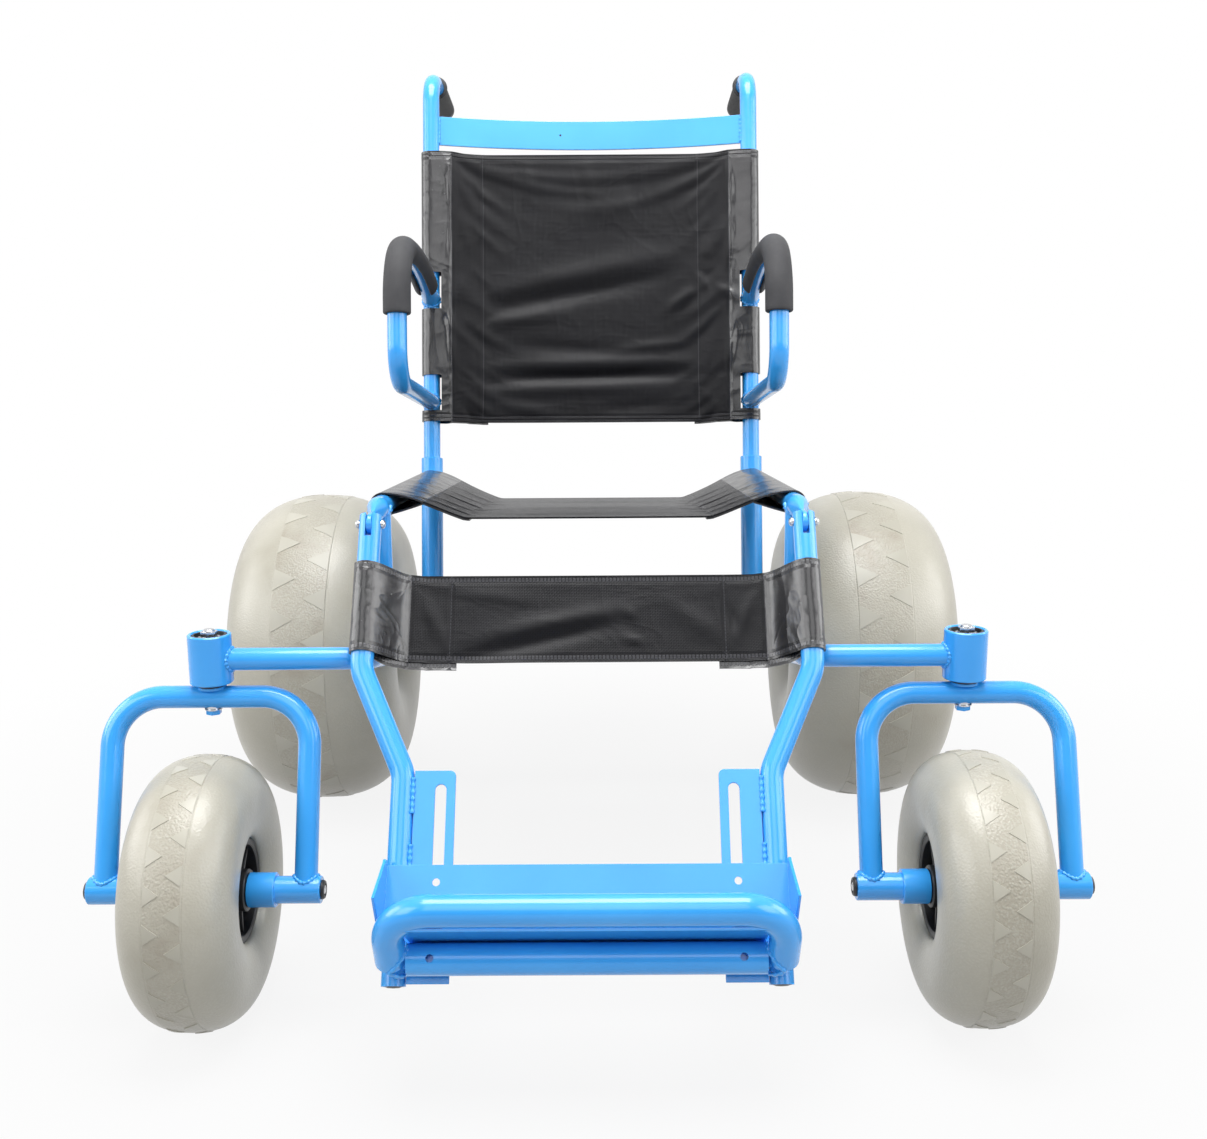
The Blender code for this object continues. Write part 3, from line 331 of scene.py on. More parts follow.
@dataclass(frozen=True)
class PaintFinish(Finish):
    """Powder coat with orange peel and a little dust on what faces up.

    Attributes:
        peel: height of the orange peel in metres.
        dust: colour of the dust.
    """

    peel: float = 0.00010
    dust: Colour = (0.10, 0.40, 0.85, 1.0)

    def surface(self, tree: Tree, where: Socket, varied: Any) -> dict[str, Socket]:
        """Settle dust on the colour and ripple the coat.

        Args:
            tree: the material's tree.
            where: Object coordinates.
            varied: the drift's outputs.

        Returns:
            Shader inputs.
        """
        facing = tree.node("SeparateXYZ", {0: tree.node("NewGeometry").outputs["Normal"]})
        upward = tree.spread(facing.outputs["Z"], 0.55, 1.0)
        specks = tree.spread(tree.noise(where, 60.0, 5.0, 0.7), 0.52, 0.78)
        settled = tree.times(tree.times(upward, specks), 0.22)
        waves = tree.noise(where, 260.0, 2.0, 0.4)
        return {"Base Color": tree.tint(settled, varied["Colour"], self.dust),
                "Normal": tree.bump(waves, self.peel, strength=0.55)}


@dataclass(frozen=True)
class TyreFinish(Finish):
    """Balloon tyre: satin skin, pebbled between the parting lines, with smears of sand dust, more on the tread, and
    painted shade in the pebbles' pits.

    Attributes:
        pebble: height of the pebbles in metres.
        pebble_scale: scale of the pebbles.
        soil: colour of the sand dust, which also darkens the pebbles' pits as painted shade.
    """

    pebble: float = 0.0006
    pebble_scale: float = 400.0
    soil: Colour = (0.22, 0.185, 0.130, 1.0)

    def surface(self, tree: Tree, where: Socket, varied: Any) -> dict[str, Socket]:
        """Lay dust, pebbles and painted shade in the pebbles' pits, more of each on the tread.

        Args:
            tree: the material's tree.
            where: Object coordinates.
            varied: the drift's outputs.

        Returns:
            Shader inputs.
        """
        band = tree.mark("band")
        pebbled = tree.group("pebble_grain", {"Vector": where, "Scale": self.pebble_scale})["Height"]
        smears = tree.spread(tree.noise(where, 9.0, 6.0, 0.65), 0.48, 0.72)
        worn = tree.times(smears, tree.maths("MULTIPLY_ADD", band, 0.34, 0.30))
        # Painted shade: the pebbles' pits are darkened towards the dust colour, as shade in them would darken them.
        pit_shade = tree.times(tree.spread(pebbled, 0.02, 0.30, 0.26, 0.0), tree.maths("MULTIPLY_ADD", band, 0.60, 0.40))
        # held takes the stronger of the real dust smears and the painted shade in the pits.
        held = tree.maths("MAXIMUM", worn, pit_shade)
        height = tree.times(pebbled, tree.maths("MULTIPLY_ADD", band, 0.55, 0.45))
        return {"Base Color": tree.tint(held, varied["Colour"], self.soil),
                "Normal": tree.bump(height, self.pebble, strength=0.9)}


@dataclass(frozen=True)
class ClothFinish(Finish):
    """Coated cloth with a weave, painted shade between its threads, stitched seams and soft creases, on the sheet's
    own flat coordinates.

    Attributes:
        threads: threads to the metre.
        relief: height of the weave in metres.
        crease: height of the soft creases in metres.
        folds: scale of the sharp little folds.
        stitch: length of a stitch with its gap in metres.
        gap: colour of the painted shade between the threads.
        thread: colour of the stitching.
    """

    threads: float = 520.0
    relief: float = 0.00016
    crease: float = 0.0009
    folds: float = 13.0
    stitch: float = 0.0042
    gap: Colour = (0.002, 0.002, 0.002, 1.0)
    thread: Colour = (0.035, 0.035, 0.040, 1.0)

    def surface(self, tree: Tree, where: Socket, varied: Any) -> dict[str, Socket]:
        """Weave, crinkle and stitch the cloth, and paint shade between its threads.

        Args:
            tree: the material's tree.
            where: Object coordinates.
            varied: the drift's outputs.

        Returns:
            Shader inputs.
        """
        flat = tree.node("UVMap", uv_map="cut").outputs["UV"]
        place = tree.node("SeparateXYZ", {0: flat}).outputs
        mask: Any = 0.0
        pucker: Any = 1.0
        for attribute, axis in (("seam_across", "Y"), ("hem_across", "X")):
            row = tree.group("stitch_row", {"Across": tree.mark(attribute), "Along": place[axis],
                                            "Pitch": self.stitch})
            mask = tree.maths("MAXIMUM", row["Mask"], mask)
            pucker = tree.maths("MINIMUM", row["Pucker"], pucker)
        woven = tree.group("plain_weave", {"Vector": flat, "Threads": self.threads})["Height"]
        # Painted shade: the low parts of the weave are darkened towards the gap colour.
        shaded_weave_colour = tree.tint(tree.spread(woven, 0.0, 1.0, 0.35, 0.0), varied["Colour"], self.gap)
        crinkled = tree.group("cloth_crinkle", {"Vector": flat, "Scale": self.folds})["Height"]
        normal = tree.bump(crinkled, self.crease, tree.bump(woven, self.relief))
        normal = tree.bump(tree.noise(where, 22.0, 1.0, 0.4), self.crease * 0.6, normal)
        normal = tree.bump(tree.maths("MULTIPLY_ADD", mask, 0.35, pucker), 0.0007, normal)
        return {"Base Color": tree.tint(mask, shaded_weave_colour, self.thread), "Normal": normal}


class Palette:
    """Every material of the chair, made once."""

    def __init__(self) -> None:
        """Build the finishes."""
        SharedGroups()
        self.paint = PaintFinish("gloss_blue_powder_coat", (0.044, 0.365, 0.860, 1.0), (0.030, 0.320, 0.810, 1.0),
                                 0.25, 0.05, 7.0, coat=0.50, specular=0.45).build()
        self.cloth = ClothFinish("black_woven_cloth", (0.0045, 0.0045, 0.0065, 1.0), (0.003, 0.003, 0.0045, 1.0),
                                 0.33, 0.14, 14.0, specular=0.21).build()
        self.band = ClothFinish("black_smooth_band", (0.012, 0.012, 0.014, 1.0), (0.008, 0.008, 0.010, 1.0),
                                0.26, 0.06, 18.0, specular=0.80, threads=900.0, relief=0.000005,
                                crease=0.0030, folds=8.0).build()
        self.foam = Finish("grey_closed_cell_foam", (0.050, 0.050, 0.053, 1.0), (0.036, 0.036, 0.039, 1.0),
                           0.72, 0.12, 22.0, grain=0.00025, specular=0.35).build()
        self.grip = Finish("soft_black_grip", (0.012, 0.012, 0.013, 1.0), (0.020, 0.020, 0.021, 1.0),
                           0.55, 0.16, 26.0, grain=0.00012).build()
        self.plastic = Finish("moulded_black_plastic", (0.010, 0.010, 0.011, 1.0), (0.018, 0.018, 0.019, 1.0),
                              0.42, 0.14, 30.0, grain=0.00006).build()
        self.steel = Finish("bright_zinc", (0.66, 0.67, 0.69, 1.0), (0.50, 0.51, 0.53, 1.0),
                            0.24, 0.16, 60.0, metallic=1.0, grain=0.00002).build()
        self.tyre = TyreFinish("grey_balloon_skin", (0.430, 0.415, 0.355, 1.0), (0.350, 0.335, 0.280, 1.0),
                               0.31, 0.12, 5.0, specular=0.6).build()
        self.lug = Finish("smooth_tread_lug", (0.430, 0.415, 0.357, 1.0), (0.350, 0.335, 0.280, 1.0),
                          0.34, 0.12, 8.0, grain=0.00003).build()
        self.usual = {Slot.PAINT: self.paint, Slot.FOAM: self.foam, Slot.GRIP: self.grip,
                      Slot.PLASTIC: self.plastic, Slot.STEEL: self.steel}


# Modelling moves


def at(x: float, y: float, z: float) -> Matrix:
    """Matrix that moves to a place."""
    return Matrix.Translation((x, y, z))


def twist(angle: float, axis: str = "X") -> Matrix:
    """Matrix that turns about an axis."""
    return Matrix.Rotation(angle, 4, axis)


def clamp(value: float) -> float:
    """Keep a value from 0 to 1."""
    return min(1.0, max(0.0, value))


def smooth(share: float) -> float:
    """Ease a share from 0 to 1 in and out."""
    return share * share * (3 - 2 * share)


def mirrored(half: Sequence[Pair]) -> list[Pair]:
    """Profile of radius and height, with its mirror image below."""
    return list(half) + [(radius, -height) for radius, height in reversed(half) if height > 0.0]


def distances(points: Sequence[Vector]) -> list[float]:
    """Distance of each point along a line.

    Args:
        points: the line.

    Returns:
        The distances.
    """
    found = [0.0]
    for first, second in zip(points, points[1:]):
        found.append(found[-1] + (second - first).length)
    return found


def marks(low: float, high: float, pitch: float, forced: Sequence[float] = ()) -> list[float]:
    """Divide a stretch evenly between the places that must have a mark.

    Args:
        low: start of the stretch.
        high: end of the stretch.
        pitch: widest gap between marks.
        forced: places inside it that must have one.

    Returns:
        The marks in order.
    """
    edges = [low, *sorted(place for place in forced if low < place < high), high]
    found = [low]
    for first, second in zip(edges, edges[1:]):
        count = max(1, math.ceil((second - first) / pitch - 0.01))
        found += [first + (second - first) * index / count for index in range(1, count + 1)]
    return found


def rounded(corners: Sequence[Spot], bend: float | Sequence[float], step: float = 4.0) -> list[Vector]:
    """Draw a line through corners that are rounded to a bend radius.

    Args:
        corners: the line's corners.
        bend: one radius, or one for each inner corner.
        step: degrees between points on a bend.

    Returns:
        The points of the line.
    """
    spots = [Vector(corner) for corner in corners]
    bends = bend if isinstance(bend, tuple) else [bend] * (len(spots) - 2)
    points = [spots[0]]
    for before, corner, after, radius in zip(spots, spots[1:], spots[2:], bends):
        come = (before - corner).normalized()
        go = (after - corner).normalized()
        turn = math.pi - come.angle(go)
        centre = corner + (come + go).normalized() * radius / math.cos(turn / 2)
        start = corner + come * radius * math.tan(turn / 2) - centre
        axis = come.cross(go).normalized()
        count = max(3, math.ceil(math.degrees(turn) / step))
        points += [centre + Matrix.Rotation(-turn * index / count, 3, axis) @ start for index in range(count + 1)]
    return points + [spots[-1]]


def along(points: Sequence[Vector], begin: float, length: float, pitch: float) -> list[Vector]:
    """Read evenly spaced points from a stretch of a line.

    Args:
        points: the line.
        begin: distance along it at which the stretch starts.
        length: the stretch's length.
        pitch: wanted distance between points.

    Returns:
        The points.
    """
    fars = distances(points)
    count = max(2, round(length / pitch))
    found = []
    for index in range(count + 1):
        want = begin + length * index / count
        place = next((k for k in range(1, len(fars)) if fars[k] >= want), len(fars) - 1)
        share = (want - fars[place - 1]) / (fars[place] - fars[place - 1])
        found.append(points[place - 1].lerp(points[place], share))
    return found


class Bench:
    """The modelling moves that every sub-assembly uses."""

    @staticmethod
    def pick(obj: Object) -> None:
        """Make one object the only selected and the active one."""
        bpy.ops.object.select_all(action="DESELECT")
        obj.select_set(True)
        bpy.context.view_layer.objects.active = obj

    @staticmethod
    def edit(obj: Object) -> None:
        """Enter edit mode on one object, with all of it selected."""
        Bench.pick(obj)
        bpy.ops.object.mode_set(mode="EDIT")
        bpy.ops.mesh.select_all(action="SELECT")

    @staticmethod
    def clean(obj: Object) -> Object:
        """Merge doubled points and point the faces outwards.

        Args:
            obj: a mesh object.

        Returns:
            The object.
        """
        Bench.edit(obj)
        bpy.ops.mesh.remove_doubles(threshold=MERGE)
        bpy.ops.mesh.normals_make_consistent(inside=False)
        bpy.ops.object.mode_set(mode="OBJECT")
        return obj

    @staticmethod
    def shell(points: Sequence[Any], faces: Sequence[Sequence[int]], edges: Sequence[Sequence[int]] = ()) -> Object:
        """Make an object from points, and from faces or edges between them.

        Args:
            points: the points.
            faces: points of each face.
            edges: points of each edge.

        Returns:
            The object.
        """
        mesh = bpy.data.meshes.new("piece")
        mesh.from_pydata(points, edges, faces)
        made = bpy.data.objects.new("piece", mesh)
        bpy.context.scene.collection.objects.link(made)
        return made

    @staticmethod
    def loft(rings: Sequence[Sequence[Any]], caps: Sequence[Sequence[int]]) -> Object:
        """Skin a row of rings.

        Args:
            rings: points of each ring, all with as many.
            caps: points of each face that closes an end.

        Returns:
            The skin.
        """
        count = len(rings[0])
        faces = []
        for near in range(0, count * (len(rings) - 1), count):
            for index in range(count):
                other = (index + 1) % count
                faces.append((near + index, near + other, near + count + other, near + count + index))
        return Bench.clean(Bench.shell([point for ring in rings for point in ring], [*faces, *caps]))

    @staticmethod
    def sweep(points: Sequence[Vector], radius: float, sides: int = 40, closed: bool = False,
              swell: Sequence[float] = ()) -> Object:
        """Bend a round bar along a line.

        Args:
            points: its centre line.
            radius: its radius.
            sides: faces around it.
            closed: join the last point to the first.
            swell: share of the radius at each point.

        Returns:
            The bar as a mesh.
        """
        bpy.ops.object.select_all(action="DESELECT")
        bpy.ops.curve.primitive_nurbs_path_add()
        made = bpy.context.object
        curve = made.data
        curve.splines.clear()
        spline = curve.splines.new("POLY")
        spline.points.add(len(points) - 1)
        for index, (spot, point) in enumerate(zip(spline.points, points)):
            spot.co = (*point, 1.0)
            spot.radius = swell[index] if swell else 1.0
        spline.use_cyclic_u = closed
        curve.dimensions = "3D"
        curve.twist_mode = "MINIMUM"
        curve.bevel_depth = radius
        curve.bevel_resolution = sides // 2 - 2
        curve.use_fill_caps = not closed
        Bench.pick(made)
        bpy.ops.object.convert(target="MESH")
        return Bench.clean(bpy.context.object)

    @staticmethod
    def turn(profile: Sequence[Pair], steps: int = 64, matrix: Matrix | None = None) -> Object:
        """Spin a profile about Z.

        Args:
            profile: radius and height of each point; closed unless it starts and ends on the axis.
            steps: faces around it.
            matrix: where the turned piece goes.

        Returns:
            The turned piece.
        """
        solid = profile[0][0] == 0.0 and profile[-1][0] == 0.0
        count = len(profile)
        edges = [(index, (index + 1) % count) for index in range(count - 1 if solid else count)]
        made = Bench.shell([(radius, 0.0, height) for radius, height in profile], [], edges)
        Bench.edit(made)
        bpy.ops.mesh.spin(steps=steps, angle=2 * math.pi, center=(0, 0, 0), axis=(0, 0, 1))
        bpy.ops.object.mode_set(mode="OBJECT")
        Bench.clean(made)
        if matrix is not None:
            made.data.transform(matrix)
        return made

    @staticmethod
    def pipe(outer: float, inner: float, low: float, high: float, soft: float, matrix: Matrix,
             steps: int = 64) -> Object:
        """Turn a short pipe with rounded rims.

        Args:
            outer: its outer radius.
            inner: its bore.
            low: height of its lower end.
            high: height of its upper end.
            soft: how much its rims are rounded.
            matrix: where it goes.
            steps: faces around it.

        Returns:
            The pipe.
        """
        profile = [(outer, low + soft), (outer, high - soft), (outer - soft, high), (inner + soft, high),
                   (inner, high - soft), (inner, low + soft), (inner + soft, low), (outer - soft, low)]
        return Bench.turn(profile, steps, matrix)

    @staticmethod
    def block(low: Spot, high: Spot, edge: float = 0.0) -> Object:
        """Make a block between two corners.

        Args:
            low: one corner.
            high: the opposite corner.
            edge: width of its eased edges.

        Returns:
            The block.
        """
        first, second = Vector(low), Vector(high)
        size = [abs(side) for side in second - first]
        bpy.ops.object.select_all(action="DESELECT")
        bpy.ops.mesh.primitive_cube_add(size=1.0)
        made = bpy.context.object
        made.data.transform(Matrix.Translation((first + second) / 2) @ Matrix.Diagonal((*size, 1.0)))
        return Bench.ease(made, edge)

    @staticmethod
    def plate(outline: Sequence[Pair], low: float, high: float, matrix: Matrix, edge: float = 0.0) -> Object:
        """Cut an outline from sheet metal.

        Args:
            outline: x and y of its corners.
            low: height of its lower face.
            high: height of its upper face.
            matrix: where the sheet goes.
            edge: width of its eased edges.

        Returns:
            The plate.
        """
        bpy.ops.object.select_all(action="DESELECT")
        bpy.ops.mesh.primitive_circle_add(vertices=len(outline), radius=1.0, fill_type="NGON")
        made = bpy.context.object
        for vertex, (x, y) in zip(made.data.vertices, outline):
            vertex.co = (x, y, low)
        Bench.edit(made)
        bpy.ops.mesh.extrude_region_move(TRANSFORM_OT_translate={"value": (0.0, 0.0, high - low)})
        bpy.ops.object.mode_set(mode="OBJECT")
        made.data.transform(matrix)
        return Bench.ease(Bench.clean(made), edge)

    @staticmethod
    def rod(start: Spot, end: Spot, radius: float, sides: int = 32, edge: float = 0.0) -> Object:
        """Make a straight round bar.

        Args:
            start: centre of one end.
            end: centre of the other.
            radius: its radius.
            sides: faces around it.
            edge: rounding of its ends.

        Returns:
            The bar.
        """
        start, end = Vector(start), Vector(end)
        bpy.ops.object.select_all(action="DESELECT")
        bpy.ops.mesh.primitive_cylinder_add(vertices=sides, radius=radius, depth=(end - start).length)
        made = bpy.context.object
        made.data.transform((end - start).to_track_quat("Z", "Y").to_matrix().to_4x4())
        made.data.transform(Matrix.Translation((start + end) / 2))
        return Bench.ease(made, edge)

    @staticmethod
    def ease(obj: Object, width: float, angle: float = 35.0) -> Object:
        """Round the edges that are sharper than an angle.

        Args:
            obj: the piece.
            width: how wide the rounding is.
            angle: the angle in degrees.

        Returns:
            The piece.
        """
        if width > 0.0:
            step = obj.modifiers.new("Edges", "BEVEL")
            step.width = width
            step.segments = 2
            step.limit_method = "ANGLE"
            step.angle_limit = math.radians(angle)
            step.use_clamp_overlap = True
            Bench.apply(obj)
        return obj

    @staticmethod
    def apply(obj: Object) -> None:
        """Apply every modifier of a piece."""
        Bench.pick(obj)
        for step in list(obj.modifiers):
            bpy.ops.object.modifier_apply(modifier=step.name)

    @staticmethod
    def cut(obj: Object, cutter: Object, operation: str = "DIFFERENCE") -> Object:
        """Cut a shape out of a piece, and use the cutter up.

        Args:
            obj: the piece.
            cutter: what is cut away.
            operation: another Boolean operation.

        Returns:
            The piece.
        """
        step = obj.modifiers.new("Cut", "BOOLEAN")
        step.operation = operation
        step.solver = "EXACT"
        step.object = cutter
        Bench.apply(obj)
        bpy.data.objects.remove(cutter, do_unlink=True)
        return obj

    @staticmethod
    def dress(obj: Object, *looks: Material) -> Object:
        """Give a part its own materials before it is joined to others."""
        for look in looks:
            obj.data.materials.append(look)
        return obj

    @staticmethod
    def join(parts: Sequence[Object]) -> Object:
        """Put several parts in one object.

        Args:
            parts: the parts.

        Returns:
            The joined object.
        """
        Bench.pick(parts[0])
        for part in parts[1:]:
            part.select_set(True)
        bpy.ops.object.join()
        return parts[0]


# Sizes that the sub-assemblies share, as the CAD has them


@dataclass(frozen=True)
class Stock:
    """Tube sizes and the chair's main places.

    Attributes are metres, and angles are radians.
    """

    tube: float = 0.0127
    socket: float = 0.0165
    axle_tube: float = 0.0159
    guard: float = 0.0160
    bend: float = 0.045
    side_x: float = 0.247
    gap: float = 0.0003
    axle_y: float = 0.3256
    axle_z: float = 0.245
    stem_y: float = -0.3244
    caster_x: float = 0.422
    trail: float = 0.070
    front_axle_z: float = 0.149
    head_high: float = 0.4225
    arm_z: float = 0.393
    post_y: float = -0.2044
    seat_rear_z: float = 0.5225
    seat_front_z: float = 0.547
    recline: float = math.radians(12.05)
    back_y: float = 0.2661
    back_z: float = 0.500
    pivot_y: float = -0.2694
    pivot_z: float = 0.536
    rake: float = math.radians(31.0)

    @property
    def back(self) -> Matrix:
        """Frame of the backrest: +Z up the canes, -Y to the front."""
        return at(0.0, self.back_y, self.back_z) @ twist(-self.recline)

    @property
    def leg(self) -> Matrix:
        """Frame of the leg rest: -Z down the legs, -Y to the front."""
        return at(0.0, self.pivot_y, self.pivot_z) @ twist(-self.rake)

    @property
    def seat_rear_y(self) -> float:
        """World y at which the seat rail's line meets the cane's."""
        return self.back_y + (self.seat_rear_z - self.back_z) * math.tan(self.recline)

    @property
    def rail_slope(self) -> float:
        """Rise of the side rail for each metre towards the rear."""
        return (self.axle_z - self.arm_z) / (self.axle_y - self.stem_y)

    def side_z(self, y: float) -> float:
        """Height of the side rail's centre line at y."""
        return self.arm_z + self.rail_slope * (y - self.stem_y)

    def seat_z(self, y: float) -> float:
        """Height of the seat rail's centre line at y."""
        share = (self.seat_rear_y - y) / (self.seat_rear_y - self.post_y)
        return self.seat_rear_z + (self.seat_front_z - self.seat_rear_z) * share

    def back_point(self, far: float) -> Vector:
        """Point of the cane line in the chair's middle plane, a distance from its reference point."""
        return self.back @ Vector((0.0, 0.0, far))


STOCK = Stock()


@dataclass
class Assembly:
    """Pieces that ride on one body.

    Attributes:
        palette: the materials.
        body: the body that they move with.
        frame: the frame that they are built in.
        side: the side that is being built.
        beads: the weld beads so far.
    """

    BEAD_R = 0.0022
    BEAD_POINTS = 72
    BEAD_PITCH = 0.0017
    RIPPLE = 0.28

    palette: Palette = field(kw_only=True)
    body: str = field(default="frame", kw_only=True)
    frame: Matrix = field(default_factory=Matrix, kw_only=True)
    side: Side = field(default=Side.LEFT, kw_only=True)
    beads: list[Object] = field(default_factory=list, kw_only=True)

    @property
    def x(self) -> float:
        """Place of the side that is being built."""
        return self.side.value * STOCK.side_x

    def both(self, *makers: Callable[[], None]) -> None:
        """Make the left side and then the right one."""
        for self.side in Side:
            for maker in makers:
                maker()

    def done(self, obj: Object, node: str, kind: str, slot: Slot = Slot.PAINT, angle: float = 32.0,
             placed: bool = False) -> None:
        """Place, name, shade and dress a piece, and tie it to its body and its CAD node.

        Args:
            obj: the piece.
            node: CAD node that it stands for, with * for its side, or nothing.
            kind: last word of its name.
            slot: the record's material slot.
            angle: edges sharper than this many degrees stay sharp.
            placed: whether it is in the chair's frame already.
        """
        node = node.replace("*", self.side.word)
        obj.name = obj.data.name = f"{node}_{kind}" if node else kind
        if not placed:
            obj.data.transform(self.frame)
        Bench.pick(obj)
        bpy.ops.object.shade_smooth_by_angle(angle=math.radians(angle))
        if slot in (Slot.PAINT, Slot.STEEL):
            obj.modifiers.new("Even shading", "WEIGHTED_NORMAL").keep_sharp = True
            Bench.apply(obj)
        if not obj.data.materials:
            Bench.dress(obj, self.palette.usual[slot])
        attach(obj, self.body)
        if node:
            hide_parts(node)
        LOG.info("%s: %d faces on %s", obj.name, len(obj.data.polygons), self.body)

    def bead(self, line: Sequence[Vector], closed: bool, radius: float = BEAD_R) -> None:
        """Lay a weld bead along a line in the chair's frame."""
        swell = [1.0 + self.RIPPLE * math.sin(math.pi * k / 2 + 0.4 * math.sin(k)) for k in range(len(line))]
        self.beads.append(Bench.sweep(line, radius, 8, closed, swell))

    def saddle(self, foot: Spot, way: Spot, branch: float, main: Spot, radius: float) -> None:
        """Lay a bead where a branch tube lands on a main tube.

        Args:
            foot: point on the main tube's centre line.
            way: direction of the branch, away from the main tube.
            branch: the branch's radius.
            main: direction of the main tube.
            radius: the main tube's radius.
        """
        turn = self.frame.to_3x3()
        foot = self.frame @ Vector(foot)
        way, main = (turn @ Vector(way)).normalized(), (turn @ Vector(main)).normalized()
        side = way.orthogonal().normalized()
        other = way.cross(side)
        slope = way - main * way.dot(main)
        square = slope.dot(slope)
        line = []
        for index in range(self.BEAD_POINTS):
            angle = 2 * math.pi * index / self.BEAD_POINTS
            off = branch * (math.cos(angle) * side + math.sin(angle) * other)
            start = off - main * off.dot(main)
            middle, last = 2 * slope.dot(start), start.dot(start) - radius ** 2
            root = math.sqrt(max(0.0, middle * middle - 4 * square * last))
            line.append(foot + off + way * (root - middle) / (2 * square))
        self.bead(line, True)

    def straight(self, start: Spot, end: Spot) -> None:
        """Lay a straight bead.

        Args:
            start: one end.
            end: the other end.
        """
        first, last = Vector(start), Vector(end)
        count = max(6, round((last - first).length / self.BEAD_PITCH))
        self.bead([self.frame @ first.lerp(last, index / count) for index in range(count + 1)], False)

    def close(self) -> None:
        """Join the beads into one piece."""
        self.done(Bench.join(self.beads), "", f"welds_{self.body}", angle=60.0, placed=True)


# Sub-assemblies


